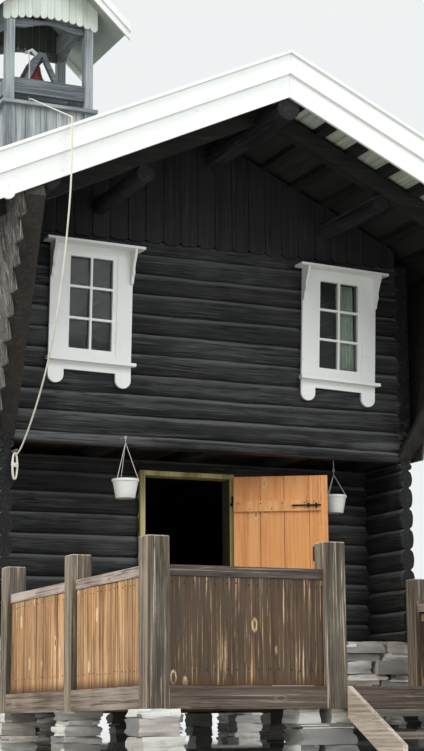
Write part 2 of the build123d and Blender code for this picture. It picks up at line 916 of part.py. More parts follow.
def build_bolt(face):
    """The bolt on the upper batten; gives back the two keeps that hold it."""
    end = -door_half + bolt_back
    bar = rod((end, bolt_y, bolt_z), (end + bolt_length, bolt_y, bolt_z), bolt_radius)
    knob_x = end + bolt_length - knob_back
    add("door_bolt", opened(bar + along_y(knob_x, (bolt_y, bolt_y + knob_length), bolt_z, knob_radius)))
    keeps = []
    for place in keep_places:
        x = (end + place, end + place + keep_width)
        keep = slab(x, (face, bolt_y + bolt_radius + bolt_off), around(bolt_z, keep_height / 2))
        bore = rod((x[0], bolt_y, bolt_z), (x[1], bolt_y, bolt_z), bolt_radius + keep_clear)
        keeps.append(opened(keep - bore))
    return keeps


def build_door_steps():
    pieces = []
    low = deck_top
    for going in door_step_goings:
        pieces.append(slab(around(0, door_step_half), (going, frame_y - door_step_clear), (low, low + door_step_rise)))
        low += door_step_rise
    add("door_steps", union(pieces))


# Platform
front_line = around(platform_front, post_half)
rear_line = around(platform_rear, rear_beam / 2)
landing_y = front_recess - landing_clear
side_bays = ((platform_front + post_half, platform_mid - post_half),
             (platform_mid + post_half, platform_rear - post_half))


def build_posts():
    rows = [(platform_x, platform_front, post_top), (platform_x, platform_mid, post_top),
            (platform_x, platform_rear, post_rear_top), (stair_post_x, platform_front, post_top)]
    posts = []
    for x, y, top in rows:
        piece = slab(around(x, post_half), around(y, post_half), (beam_low, top))
        piece = chamfer(piece.edges().filter_by(Axis.Z, reverse=True).group_by(Axis.Z)[-1], post_chamfer)
        posts += both(piece)
    add("platform_posts", posts)


def build_deck():
    inner = platform_x - post_half
    spans = [(-inner, -stair_post_x - post_half), (-stair_post_x + post_half, stair_post_x - post_half),
             (stair_post_x + post_half, inner)]
    beams = [slab(span, front_line, (beam_low, deck_under)) for span in spans]
    for y in side_bays:
        beams += both(slab(around(platform_x, post_half), y, (beam_low, deck_top)))
    beams.append(slab((-inner, inner), rear_line, (beam_low, deck_under)))
    joist_z = (beam_low, deck_under)
    joists = []
    for k in range(-deck_joists_side, deck_joists_side + 1):
        x = around(k * deck_joist_pitch, deck_joist / 2)
        clear = max(abs(x[0]), abs(x[1])) < front_pier_x[0] - joist_clear
        joists.append(slab(x, (front_line[1], rear_line[0]), joist_z))
        joists.append(slab(x, (rear_line[1], landing_y if clear else pier_face(joist_z)), joist_z))
    add("platform_beams", beams)
    add("platform_joists", joists)
    floor = slab((-inner, inner), (front_line[0], platform_rear + post_half), (deck_under, deck_top))
    reach = front_pier_x[0] - landing_side
    floor = floor + slab((-reach, reach), (platform_rear + post_half, landing_y), (deck_under, deck_top))
    for x in (-stair_post_x, stair_post_x):
        floor = floor - slab(around(x, post_half), front_line, (deck_under, deck_top))
    add("platform_floor", floor)


def platform_piers():
    """Low piers under the posts and the rear joists of the platform."""
    size = deck_pier / 2
    behind = post_face + joist_clear + size
    piers = []
    for y in (platform_front, platform_mid, platform_rear - rear_pier_shift):
        piers += both(stone_pier(around(platform_x, size), around(y, size), beam_low, deck_course))
    stair_x = around(stair_post_x + stair_pier_out, stair_pier / 2)
    piers += both(stone_pier(stair_x, around(behind, size), beam_low, deck_course))
    back = (landing_y - small_pier - small_pier_back, landing_y - small_pier_back)
    piers.append(stone_pier(around(0, small_pier / 2), back, beam_low, deck_course))
    piers += both(stone_pier(around(deck_joist_pitch, small_pier / 2), back, beam_low, deck_course))
    return piers


def board_spans(start, end):
    """Boards of one width side by side, the last one cut to what is left."""
    spans = []
    low = start + fence_gap
    while low + fence_scrap < end - fence_gap:
        spans.append((low, min(low + fence_board, end - fence_gap)))
        low += fence_board + fence_gap
    return spans


def fence_panel(start, end, across):
    """A panel along X: upright boards on two stretchers, with their faces from across inward."""
    pieces = [slab(span, (across, across + fence_thick), (fence_low, fence_high)) for span in board_spans(start, end)]
    behind = (across + fence_thick, across + fence_thick + stretcher_thick)
    for top in (fence_high - stretcher_under, fence_low + stretcher_low):
        pieces.append(slab((start, end), behind, (top - stretcher_height, top)))
    return union(pieces)


def build_fence():
    span = (-platform_x + post_half, -stair_post_x - post_half)
    rail_z = (rail_top - rail_thick, rail_top)
    panels = both(fence_panel(span[0], span[1], platform_front - fence_out))
    rails = both(slab(span, around(platform_front, rail_width / 2), rail_z))
    for y in side_bays:
        panel = Rot(0, 0, -90) * fence_panel(-y[1], -y[0], -platform_x - fence_out)
        panels += both(panel)
        rails += both(slab(around(-platform_x, rail_width / 2), y, rail_z))
    add("platform_fence", panels)
    add("handrails", rails)


def build_stair():
    inner = stair_post_x - post_half - stringer
    rise = math.tan(math.radians(stair_slope))
    depth = stringer_depth / math.cos(math.radians(stair_slope))
    foot = post_face - stair_run
    blunt = deck_top - stair_run * rise
    points = [(post_face, deck_top), (foot, blunt), (foot, 0), (foot + (depth - blunt) / rise, 0),
              (post_face, deck_top - depth)]
    add("stair_stringers", both(plate_x(points, (inner, inner + stringer))))
    treads = []
    for reach, drop in zip(tread_reaches, tread_drops):
        back = post_face if reach == tread_reaches[0] else post_face - tread_reaches[0] + tread_lap
        treads.append(slab((-inner, inner), (post_face - reach, back), (deck_top - drop - tread_thick, deck_top - drop)))
    add("stair_treads", treads)


# Bell tower
def above_roof(shape):
    """Cut a piece of the tower off where it stands on the slates."""
    reach = tower_half + tower_post
    low = roof_top(reach) - tower_post
    points = [(-reach, roof_top(reach)), (0, roof_top(0)), (reach, roof_top(reach)), (reach, low), (-reach, low)]
    return shape - plate_y(points, around(tower_y, reach))


def tower_side(shape, turn):
    """Turn a piece of the tower's front to another side."""
    return Pos(0, tower_y, 0) * Rot(0, 0, turn) * Pos(0, -tower_y, 0) * shape


def arched_lintel(half, y):
    """A board whose lower edge runs level from the posts, then rises in an arch."""
    low = tower_post_top - arch_depth
    bend = half - arch_flat
    crown = (0, y[0], low + arch_rise)
    level = [(1, 0, 0), (1, 0, 0)]
    edges = [Line((-half, y[0], low), (-bend, y[0], low)), Spline((-bend, y[0], low), crown, tangents=level),
             Spline(crown, (bend, y[0], low), tangents=level), Line((bend, y[0], low), (half, y[0], low)),
             Line((half, y[0], low), (half, y[0], tower_post_top)),
             Line((half, y[0], tower_post_top), (-half, y[0], tower_post_top)),
             Line((-half, y[0], tower_post_top), (-half, y[0], low))]
    return extrude(make_face(edges), amount=y[1] - y[0], dir=(0, 1, 0))


def build_tower_frame():
    half = tower_post / 2
    inner = tower_half - half
    under = roof_top(tower_half + tower_post) - tower_post
    front = tower_y - tower_half
    posts = []
    for y in (front, tower_y + tower_half):
        posts += both(above_roof(slab(around(tower_half, half), around(y, half), (under, tower_post_top))))
    add("tower_posts", posts)
    skirt, rails = [], []
    for turn in (0, 90, 180, 270):
        face = slab(around(0, inner), (front - skirt_thick, front), (under, skirt_top))
        skirt.append(above_roof(tower_side(face, turn)))
        rail = slab(around(0, inner), around(front, tower_rail_thick / 2), (tower_rail_low, tower_rail_high))
        rails.append(tower_side(rail, turn))
        rails.append(tower_side(arched_lintel(inner, around(front + arch_in, arch_thick / 2)), turn))
    add("tower_skirt", skirt)
    add("tower_crossbars", rails)
    reach = tower_half + tower_floor_reach
    floor = slab((-reach, reach), around(tower_y, reach), (skirt_top, tower_sill_top))
    for x in (-tower_half, tower_half):
        for y in (front, tower_y + tower_half):
            floor = floor - slab(around(x, half), around(y, half), (skirt_top, tower_sill_top))
    add("tower_floor", floor)


def tower_under(x):
    """Height of the underside of the tower's roof at x."""
    return tower_apex - abs(x) * tower_slope


def build_tower_gables():
    half = tower_half + tower_gable_side
    count = round(2 * half / tower_board)
    step = 2 * half / count
    crown = tower_post_top + tower_gable_crown
    gables = []
    for hand in (-1, 1):
        face = tower_y + hand * (tower_half + tower_gable_reach)
        y = inside(face, face - hand * tower_gable_board)
        pieces = []
        for k in range(count):
            x = (-half + k * step, -half + (k + 1) * step)
            middle = (x[0] + x[1]) / 2
            low = crown - tower_gable_fall * (middle / half) ** 2
            pieces.append(plate_y([(x[0], low), (x[1], low), (x[1], tower_under(x[1])), (x[0], tower_under(x[0]))], y))
            pieces.append(along_y(middle, y, low, step / 2 - scallop_gap))
        gables.append(union(pieces))
    add("tower_gable_boards", gables)


def build_tower_roof():
    reach = tower_half + tower_verge
    rise = tower_roof_thick / tower_lean
    points = [(0, tower_apex), (tower_eave, tower_under(tower_eave)),
              (tower_eave, tower_under(tower_eave) + rise), (0, tower_apex + rise)]
    right = plate_y(points, around(tower_y, reach))
    add("tower_roof", right + mirrored(right))
    joint = 1
    eave = tower_eave + tower_barge_past
    top = tower_apex + rise + tower_barge_over
    boards = []
    for hand in (-1, 1):
        face = tower_y + hand * reach
        pieces = []
        for depth, out in ((tower_barge_depth, 0), (tower_barge_upper, tower_barge_thick)):
            drop = depth / tower_lean
            outline = [(joint, top - joint * tower_slope), (eave, top - eave * tower_slope),
                       (eave, top - eave * tower_slope - drop), (joint, top - joint * tower_slope - drop)]
            pieces.append(plate_y(outline, inside(face + hand * out, face + hand * (out + tower_barge_thick))))
        boards += both(union(pieces))
    add("tower_bargeboards", boards)
    span = tower_half + tower_gable_reach - tower_gable_board
    plate = slab(around(tower_half, tower_plate / 2), around(tower_y, span),
                 (tower_post_top, tower_under(tower_half + tower_plate / 2)))
    add("tower_plates", both(plate))


# Bell
def build_bell():
    wall_line = [(0.45, 0), (0.55, 0.35), (0.7, 0.75), (1, 1)]
    outer = [(bell_radius * r, -bell_height * d) for r, d in wall_line]
    inner = [(bell_radius * r - bell_wall, -bell_height * d) for r, d in wall_line[1:]]
    inner.insert(0, (bell_radius * wall_line[0][0] - bell_wall, -bell_wall))
    outline = [(0, 0)] + outer + inner[::-1] + [(0, -bell_wall)]
    top = bell_axis_z - yoke_depth / 2
    shell = revolve(make_face(Polyline([(x, 0, z) for x, z in outline], close=True)), axis=Axis.Z)
    clapper = upright(0, tower_y, (top - bell_height + clapper_up, top - bell_wall), clapper_radius)
    ball = Pos(0, tower_y, top - bell_height + clapper_up) * Sphere(clapper_ball)
    add("bell", Pos(0, tower_y, top) * shell + clapper + ball)
    yoke = slab(around(0, yoke_width / 2), around(tower_y, yoke_length / 2), (top, top + yoke_depth))
    pin = along_y(0, around(tower_y, trestle_y + trestle_thick / 2), bell_axis_z, gudgeon)
    add("bell_yoke", yoke + pin)
    face = tower_y - yoke_length / 2
    y = (face - lever_thick, face)
    lever = plate_y([(x, bell_axis_z + z) for x, z in lever_points], y)
    add("bell_lever", lever - along_y(0, y, bell_axis_z, gudgeon))


def build_trestles():
    foot = tower_rail_high
    top = bell_axis_z + trestle_head
    trestles = []
    for hand in (-1, 1):
        span = around(tower_y + hand * trestle_y, trestle_thick / 2)
        pieces = [slab(around(0, tower_half + tower_rail_thick / 2), span, (foot, foot + sleeper_height))]
        for lean in (-1, 1):
            low_x, high_x = lean * trestle_spread, lean * trestle_leg / 7
            points = [(low_x - trestle_leg / 2, foot), (low_x + trestle_leg / 2, foot),
                      (high_x + trestle_leg / 2, top), (high_x - trestle_leg / 2, top)]
            pieces.append(plate_y(points, span))
        trestles.append(union(pieces) - along_y(0, span, bell_axis_z, gudgeon + pin_clear))
    add("bell_trestles", trestles)


# Bell rope
rope_points = [
    (-195, 5572.7, 9000), (-196, 5500, 8998), (-200, 5440, 8960), (-206, 5400, 8870), (-214, 5368, 8730),
    (-226, 5345, 8560), (-238, 5325, 8400), (-250, 5285, 8268), (-262, 5190, 8205), (-290, 5075, 8188),
    (-2203, -1865, 5478),
    (-2201, -1868, 5240), (-2198, -1850, 5005), (-2193, -1803, 4770), (-2187, -1732, 4540),
    (-2180, -1652, 4320), (-2172, -1555, 4100), (-2162, -1440, 3890), (-2150, -1305, 3690),
    (-2138, -1150, 3505), (-2126, -980, 3335), (-2117, -800, 3175), (-2110, -615, 3025),
    (-2107, -440, 2892), (-2105, -300, 2800), (-2105, -190, 2743), (-2105, -107, 2728),
]


def rope_radii():
    """As large a bend at each point as its two runs allow."""
    radii = []
    points = [Vector(p) for p in rope_points]
    for a, b, c in zip(points, points[1:], points[2:]):
        turn = math.radians((b - a).get_angle(c - b))
        run = min((b - a).length, (c - b).length)
        radii.append(0.45 * run / math.tan(turn / 2))
    return radii


def build_rope():
    radii = rope_radii()
    print("rope radii", [round(r) for r in radii])
    path = FilletPolyline(*rope_points, radius=radii)
    start = Plane(origin=path @ 0, z_dir=path % 0)
    tube = sweep(start * Circle(rope_diameter / 2), path=path)
    volume = math.pi * rope_diameter ** 2 / 4 * path.length
    print("rope length", round(path.length), "volume share", tube.volume / volume)
    add("bell_rope", tube)
    x = rope_points[-1][0]
    add("rope_peg", along_y(x, (-peg_length, 0), peg_z, peg_radius))
    top = peg_z - peg_radius - stand_clear
    hank = slab(around(x, hank_half), (-hank_front, -hank_back), (top - hank_length, top))
    add("rope_hank", fillet(hank.edges().filter_by(Axis.Z), hank_round))


# Hanging pots
def hanging_pot(x, y, hook_z, drop):
    """A pot and the three straps that meet above it."""
    rim_z = hook_z - drop
    middle = Pos(x, y, rim_z - pot_height / 2)
    pot = middle * Cone(pot_base, pot_rim, pot_height)
    pot = pot - Pos(0, 0, pot_wall) * middle * Cone(pot_base - pot_wall, pot_rim - pot_wall, pot_height)
    knot = (x, y, hook_z - strap_knot)
    hang = hook_z - hook_ring / 2 - hook_ring - hook_wire - strap_wire - stand_clear
    pieces = [pot, Pos(*knot) * Sphere(strap_wire + 3), rod(knot, (x, y, hang), strap_wire)]
    for turn in (90, 210, 330):
        across, along = math.cos(math.radians(turn)), math.sin(math.radians(turn))
        end = (x + (pot_rim - pot_wall) * across, y + (pot_rim - pot_wall) * along, rim_z - 2 * pot_wall)
        pieces.append(rod(knot, end, strap_wire / 2))
    return union(pieces)


def build_pots():
    hooks = []
    for x, y, hook_z, drop in pot_places:
        seat = (x, 0, hook_z) if y < 0 else (x, y, upper_low)
        ring = Pos(x, y, hook_z - hook_ring / 2 - hook_wire) * Rot(0, 90, 0) * Torus(hook_ring, hook_wire)
        hooks.append(ring + rod(seat, (x, y, hook_z + hook_wire), hook_wire))
    add("hanging_pots", [hanging_pot(*place) for place in pot_places])
    add("pot_hooks", hooks)


def save():
    """Write each node, moved so that the origin is under the middle of the whole."""
    os.makedirs("parts", exist_ok=True)
    boxes = [solid.bounding_box() for solids in parts.values() for solid in solids]
    low = [min(getattr(b.min, axis) for b in boxes) for axis in ("X", "Y", "Z")]
    high = [max(getattr(b.max, axis) for b in boxes) for axis in ("X", "Y", "Z")]
    shift = Pos(-(low[0] + high[0]) / 2, -(low[1] + high[1]) / 2, 0)
    print("moved by", -(low[0] + high[0]) / 2, -(low[1] + high[1]) / 2, "low", low, "high", high)
    for name, solids in parts.items():
        found = []
        for shape in solids:
            found += [shift * s for s in shape.solids()]
        export_step(found[0] if len(found) == 1 else Compound(children=found), f"parts/{name}.step")


build_piers()
build_lower_walls()
build_floors()
build_upper_walls()
build_roof()
build_rafters()
build_gables()
build_bargeboards()
build_boarding()
build_struts()
build_windows()
build_door_frame()
build_leaf()
build_door_steps()
build_posts()
build_deck()
build_fence()
build_stair()
build_tower_frame()
build_tower_gables()
build_tower_roof()
build_bell()
build_trestles()
build_rope()
build_pots()
save()
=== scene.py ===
import logging
import math
import random
from collections.abc import Callable
from dataclasses import dataclass
from enum import Enum
from functools import cache

import bmesh
import bpy
from mathutils import Matrix, Vector, noise


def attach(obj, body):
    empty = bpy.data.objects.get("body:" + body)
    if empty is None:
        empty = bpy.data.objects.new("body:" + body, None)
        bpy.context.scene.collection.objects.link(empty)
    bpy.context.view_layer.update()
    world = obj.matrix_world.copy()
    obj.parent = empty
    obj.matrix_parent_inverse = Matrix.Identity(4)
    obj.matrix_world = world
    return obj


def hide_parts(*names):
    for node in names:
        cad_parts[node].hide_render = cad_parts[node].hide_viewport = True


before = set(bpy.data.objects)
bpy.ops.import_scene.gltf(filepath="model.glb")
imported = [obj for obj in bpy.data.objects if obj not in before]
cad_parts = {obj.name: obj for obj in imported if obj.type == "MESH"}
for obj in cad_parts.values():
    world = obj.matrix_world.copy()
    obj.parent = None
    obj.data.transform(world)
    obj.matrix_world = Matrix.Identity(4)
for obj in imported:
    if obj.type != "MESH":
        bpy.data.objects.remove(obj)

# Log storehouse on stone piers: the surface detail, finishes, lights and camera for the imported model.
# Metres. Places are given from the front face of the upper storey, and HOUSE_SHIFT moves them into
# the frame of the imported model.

log = logging.getLogger("storehouse")

Point = tuple[float, float, float]
Span = tuple[float, float]
Colour = tuple[float, float, float]
Outline = tuple[tuple[float, float], ...]
Room = tuple[Span, Span]
Material = bpy.types.Material

HOUSE_SHIFT = Vector((0.0, -1.655, 0.0))
SLOPE = math.tan(math.radians(25.0))
TOWER_SLOPE = math.tan(math.radians(43.0))
HALF_WIDTH = 2.24
WALL = 0.15
HOUSE_LENGTH = 6.9
TOWER_MIDDLE = 5.76
JOINT = 0.002
NAIL_LEVELS = (-0.004, 0.0018, 0.003)


def paint(code: str) -> Colour:
    """Turn a colour as a screen shows it into the linear one that shaders use.

    Args:
        code: red, green and blue in hexadecimal.

    Returns:
        The linear colour.
    """
    shares = [part / 255 for part in bytes.fromhex(code)]
    return tuple(v / 12.92 if v <= 0.04045 else ((v + 0.055) / 1.055) ** 2.4 for v in shares)


def paints(codes: str) -> tuple[Colour, ...]:
    """Turn several colours, with a space between two."""
    return tuple(paint(code) for code in codes.split())


def darker(colour: Colour, share: float) -> Colour:
    """Keep a share of a colour's light."""
    return tuple(share * v for v in colour)


# Shader maths
def operation(kind: str, swapped: bool = False) -> Callable[..., "Signal"]:
    """Make a method of Signal that takes another value too, where the operation needs one.

    Args:
        kind: the operation of the Math node.
        swapped: whether the other value comes first.

    Returns:
        The method.
    """
    def method(self: "Signal", other: "Value" = 0.0) -> "Signal":
        """Add the node."""
        pair = (other, self) if swapped else (self, other)
        return self.graph.node("ShaderNodeMath", {"operation": kind}, dict(enumerate(pair)))

    return method


class Signal:
    """A value, colour or vector that a socket of a shader carries."""

    def __init__(self, graph: "Graph", socket: bpy.types.NodeSocket) -> None:
        """Wrap a socket of a graph."""
        self.graph = graph
        self.socket = socket

    __add__ = __radd__ = operation("ADD")
    __sub__ = operation("SUBTRACT")
    __rsub__ = operation("SUBTRACT", True)
    __mul__ = __rmul__ = operation("MULTIPLY")
    __truediv__ = operation("DIVIDE")
    __abs__ = operation("ABSOLUTE")
    floor = operation("FLOOR")
    fraction = operation("FRACT")
    most = operation("MAXIMUM")

    def between(self, low: float, high: float) -> "Signal":
        """Rise smoothly from 0 at low to 1 at high, or fall where low is the larger.

        Args:
            low: where the result is 0.
            high: where it is 1.

        Returns:
            The smooth step.
        """
        ends = {1: low, 2: high, 3: 0.0, 4: 1.0} if low <= high else {1: high, 2: low, 3: 1.0, 4: 0.0}
        return self.graph.node("ShaderNodeMapRange", {"interpolation_type": "SMOOTHSTEP"}, {0: self, **ends})


Value = Signal | float


class Graph:
    """The nodes of a material or of the world."""

    def __init__(self, owner: bpy.types.Material | bpy.types.World) -> None:
        """Take up the nodes of their owner."""
        self.owner = owner
        owner.use_nodes = True
        self.nodes = owner.node_tree.nodes
        self.links = owner.node_tree.links

    def node(self, kind: str, settings: dict | None = None, inputs: dict | None = None,
             output: int | str = 0) -> Signal:
        """Add a node: settings first, then the values or links of its sockets.

        Args:
            kind: the node's type.
            settings: its properties by name.
            inputs: a number, colour or Signal by socket.
            output: the socket to give back.

        Returns:
            The output as a Signal.
        """
        made = self.nodes.new(kind)
        for name, value in (settings or {}).items():
            setattr(made, name, value)
        for socket, value in (inputs or {}).items():
            self.feed(made.inputs[socket], value)
        return Signal(self, made.outputs[output])

    def feed(self, socket: bpy.types.NodeSocket, value: Colour | Value) -> None:
        """Link a Signal to a socket, or set its value.

        Args:
            socket: the input.
            value: what it takes.
        """
        if isinstance(value, Signal):
            self.links.new(value.socket, socket)
        else:
            wide = isinstance(value, tuple) and socket.type == "RGBA"
            socket.default_value = (*value, 1.0) if wide else value


class Surface(Graph):
    """The nodes of one material."""

    def __init__(self, name: str, colour: Colour) -> None:
        """Start a material in one colour."""
        super().__init__(bpy.data.materials.new(name))
        self.colour = colour
        self.shader = self.nodes["Principled BSDF"]
        self.place = self.node("ShaderNodeTexCoord", output="Object")

    def cover(self, share: Value, tone: Colour) -> None:
        """Blend a share of a tone into the colour."""
        blend = {0: share, 6: self.colour, 7: tone}
        self.colour = self.node("ShaderNodeMix", {"data_type": "RGBA"}, blend, 2)

    def stretch(self, factors: Point) -> Signal:
        """Scale the object's own coordinates along each axis."""
        return self.node("ShaderNodeVectorMath", {"operation": "MULTIPLY"}, {0: self.place, 1: factors})

    def speckle(self, factors: Point | float, detail: float = 4.0, rough: float = 0.6,
                twist: float = 0.0) -> Signal:
        """Give noise over the object's own coordinates.

        Args:
            factors: features in a metre, along each axis or along all.
            detail: octaves.
            rough: weight of the finer octaves.
            twist: distortion.

        Returns:
            The noise, about 0.5 in the middle.
        """
        each = factors if isinstance(factors, tuple) else (factors,) * 3
        values = {"Vector": self.stretch(each), "Scale": 1.0, "Detail": detail, "Roughness": rough,
                  "Distortion": twist}
        return self.node("ShaderNodeTexNoise", None, values, "Fac")

    def axes(self) -> tuple[Signal, Signal, Signal]:
        """Split the object's own coordinates."""
        return tuple(self.node("ShaderNodeSeparateXYZ", None, {0: self.place}, axis) for axis in range(3))

    def turn_sides(self, limit: float) -> None:
        """Let the grain of pieces further out than this run along Y instead of X.

        Args:
            limit: the distance from the middle.
        """
        x, y, z = self.axes()
        side = abs(x).between(limit, limit + 0.001)
        swapped = {0: x + (y - x) * side, 1: y + (x - y) * side, 2: z}
        self.place = self.node("ShaderNodeCombineXYZ", None, swapped)

    def facing(self, axis: int) -> Signal:
        """Give how far the surface faces along an axis, from -1 to 1."""
        normal = self.node("ShaderNodeNewGeometry", output="Normal")
        return self.node("ShaderNodeSeparateXYZ", None, {0: normal}, axis)

    def lot(self) -> Signal:
        """Give a random number to each separate board, stone or slate of a mesh."""
        return self.node("ShaderNodeNewGeometry", output="Random Per Island")

    def finish(self, roughness: Value, relief: Value = 0.0, depth: float = 0.002, **fixed: float) -> Material:
        """Feed the shader and give back the material.

        Args:
            roughness: roughness.
            relief: height for the bump.
            depth: what a height of 1 stands for, in metres.
            fixed: values of the shader's other sockets, with _ for a space.

        Returns:
            The material.
        """
        bump = self.node("ShaderNodeBump", None, {"Height": relief, "Strength": 1.0, "Distance": depth})
        fixed.update(Base_Color=self.colour, Roughness=roughness, Normal=bump)
        for name, value in fixed.items():
            self.feed(self.shader.inputs[name.replace("_", " ")], value)
        return self.owner


class Grain(Enum):
    """The way the grain runs, as the features in a metre along each axis."""

    ACROSS = (0.55, 9.0, 9.0)
    INTO = (9.0, 0.55, 9.0)
    UP = (9.0, 9.0, 0.55)

    def times(self, along: float, across: float) -> Point:
        """Scale the features along the grain and those across it."""
        return tuple(v * (along if v < 1 else across) for v in self.value)

    @property
    def axis(self) -> int:
        """The axis that the grain follows."""
        return self.value.index(min(self.value))


@dataclass(frozen=True)
class Planks:
    """Boards that a flat piece is laid of: their width, and the axes that they follow each other along."""

    width: float
    axes: str = "X"


@dataclass(frozen=True)
class WoodFinish:
    """Sawn or hewn wood, from deep streaks to pale weathered fibres, with wear by height and painted
    highlight and shade by how it lies and faces.
    """

    name: str
    deep: Colour
    body: Colour
    pale: Colour
    odd: Colour
    variety: float = 0.5
    weathered: float = 0.4
    cracks: float = 0.8
    crack_width: float = 0.012
    knots: float = 0.0
    # Strength of the paler upward faces: partly weathering, partly painted highlight.
    top_wear_and_highlight: float = 0.0
    heads: float = 0.6
    shade: float = 0.0
    inward_shade: float = 0.0
    dark_below: float = 0.0
    worn_below: float = 0.0
    shade_behind: float | None = None
    dark_heads: float = 0.0
    inner_shade_at: float = 0.0
    sides_from: float = 0.0
    streaky: float = 0.5
    shadow: Colour = (0.026, 0.024, 0.020)
    roughness: float = 0.8
    relief: float = 0.003

    def knotted(self, graph: Surface, grain: Grain) -> tuple[Signal, Signal]:
        """Make the knots and the pale rings round them.

        Args:
            graph: the material's nodes.
            grain: the way the grain runs.

        Returns:
            The knots, and their rings.
        """
        values = {"Vector": graph.stretch(grain.times(4.5, 0.62)), "Scale": 1.0, "Randomness": 1.0}
        reach = graph.node("ShaderNodeTexVoronoi", None, values, "Distance")
        ragged = reach + graph.speckle(30.0, 2.0) * 0.05
        return ragged.between(0.13, 0.10), ragged.between(0.20, 0.14)

    def placed(self, graph: Surface, streaks: Signal, lines: Signal) -> None:
        """Paint shade on faces by how they face and where they lie, and wear or darken the colour by height.

        Args:
            graph: the material's nodes.
            streaks: the wood's streaks.
            lines: pale lines that stay pale in the shade.
        """
        x, y, z = graph.axes()
        if self.worn_below:
            limit = self.worn_below
            low = z.between(limit + 0.8, limit) * z.between(limit - 0.1, limit)
            worn = low * streaks.between(0.50, 0.62) * lines.most(0.45)
            graph.cover(worn * 0.8, self.pale)
        # Painted shade: faces that turn to the front (towards -Y) blend towards the shadow colour, except on
        # the pale lines.
        if self.shade:
            front = graph.facing(1).between(-0.5, -0.9) * (0.8 + 0.4 * streaks) * (1.0 - lines * 0.75)
            graph.cover(front * self.shade, self.shadow)
        # Painted shade on faces that turn towards the middle of the house, such as the door's reveal and the
        # inner faces of the side boarding.
        if self.inward_shade:
            inward = (graph.facing(0) * x).between(-0.25, -0.45)
            graph.cover(inward * self.inward_shade, self.shadow)
        # Painted shade on the inner faces of the tower's gables, those that turn towards its middle.
        if self.inner_shade_at:
            inner = (graph.facing(1) * (y - self.inner_shade_at)).between(-0.3, -0.5)
            graph.cover(inner * 0.9, self.shadow)
        if self.dark_below:
            foot = z.between(self.dark_below + 0.09, self.dark_below)
            graph.cover(foot * 0.75, darker(self.deep, 0.45))
        # Painted shade: boards further back than this line, deep under the eaves, go nearly black.
        if self.shade_behind is not None:
            behind = y.between(self.shade_behind, self.shade_behind + 0.05)
            graph.cover(behind * 0.96, darker(self.shadow, 0.3))

    def laid(self, graph: Surface, planks: Planks) -> tuple[Signal, Signal]:
        """Divide a flat piece into boards.

        Args:
            graph: the material's nodes.
            planks: the boards.

        Returns:
            A random number for each board, and the joints between them.
        """
        parts = dict(zip("XYZ", graph.axes()))
        along = parts[planks.axes[0]]
        for more in planks.axes[1:]:
            along = along + parts[more]
        row = along / planks.width
        lot = graph.node("ShaderNodeTexWhiteNoise", {"noise_dimensions": "1D"}, {"W": row.floor()})
        return lot, abs(row.fraction() - 0.5).between(0.5 - 2 * JOINT / planks.width, 0.5)

    @cache
    def material(self, grain: Grain, islands: bool = False, planks: Planks | None = None) -> Material:
        """Make the finish for a piece.

        Args:
            grain: the way the grain runs.
            islands: whether each separate board of the mesh differs.
            planks: the boards that a flat piece is laid of.

        Returns:
            The material, made once for each use.
        """
        key = f"{self.name}_{grain.name.lower()}{'_each' if islands else ''}"
        if planks:
            key += f"_{planks.axes.lower()}{round(planks.width * 1000)}"
        graph = Surface(key, self.deep)
        if self.sides_from:
            graph.turn_sides(self.sides_from)
        streaks = graph.speckle(grain.times(1.0, 1.0), 6.0, 0.62, 0.4)
        fibres = graph.speckle(grain.times(5.0, 14.0), 3.0, 0.7)
        blotches = graph.speckle(0.9, 3.0)
        stripes = graph.speckle(grain.times(1.8, 6.5), 5.0, 0.7, 0.3)
        lines = stripes.between(0.56, 0.64)
        furrows = stripes.between(0.46, 0.40)
        checks = abs(graph.speckle(grain.times(1.2, 2.6), 5.0, 0.5, 0.3) - 0.5)
        patches = graph.speckle(1.7, 2.0).between(0.62 - 0.3 * self.cracks, 0.7)
        split = checks.between(self.crack_width, 0.0) * patches
        lot = graph.lot() if islands else blotches
        relief = fibres * 0.35 + streaks * 0.3 - split * 1.0
        graph.cover(streaks.between(0.38, 0.60), self.body)
        graph.cover((fibres * 0.5 + blotches * 0.5).between(0.42, 0.66) * self.weathered, self.pale)
        if planks:
            lot, joints = self.laid(graph, planks)
            relief = relief - joints * 2.0
            graph.cover(joints * 0.85, darker(self.deep, 0.3))
        graph.cover(lot.between(0.15, 0.9) * self.variety, self.odd)
        if self.knots:
            dark, ring = self.knotted(graph, grain)
            rare = 0.8 - 0.5 * self.knots
            chosen = (lot * 7.3 + blotches * 3.0).fraction().between(rare, rare + 0.1)
            graph.cover(ring * self.knots * 0.6, self.pale)
            graph.cover(dark * self.knots * chosen, darker(self.deep, 0.35))
            lines = lines.most(ring * (1.0 - dark) * self.knots)
        # Upward faces paler: partly weathering, partly a painted highlight where light falls from above.
        if self.top_wear_and_highlight:
            upper = (graph.facing(2) + streaks * 0.6).between(0.45, 1.05)
            graph.cover(upper * self.top_wear_and_highlight, self.pale)
        ends = abs(graph.facing(grain.axis)).between(0.75, 0.95)
        if self.heads:
            graph.cover(ends * self.heads * blotches.between(0.3, 0.7), self.pale)
        if self.dark_heads:
            graph.cover(ends * self.dark_heads, darker(self.deep, 0.5))
        graph.cover(lines * self.streaky * 0.7, self.pale)
        graph.cover(furrows * self.streaky, darker(self.deep, 0.5))
        self.placed(graph, streaks, lines)
        graph.cover(split * 0.9, darker(self.deep, 0.25))
        rough = self.roughness - 0.12 * fibres + 0.05 * split
        return graph.finish(rough, relief, self.relief, Specular_IOR_Level=0.35)


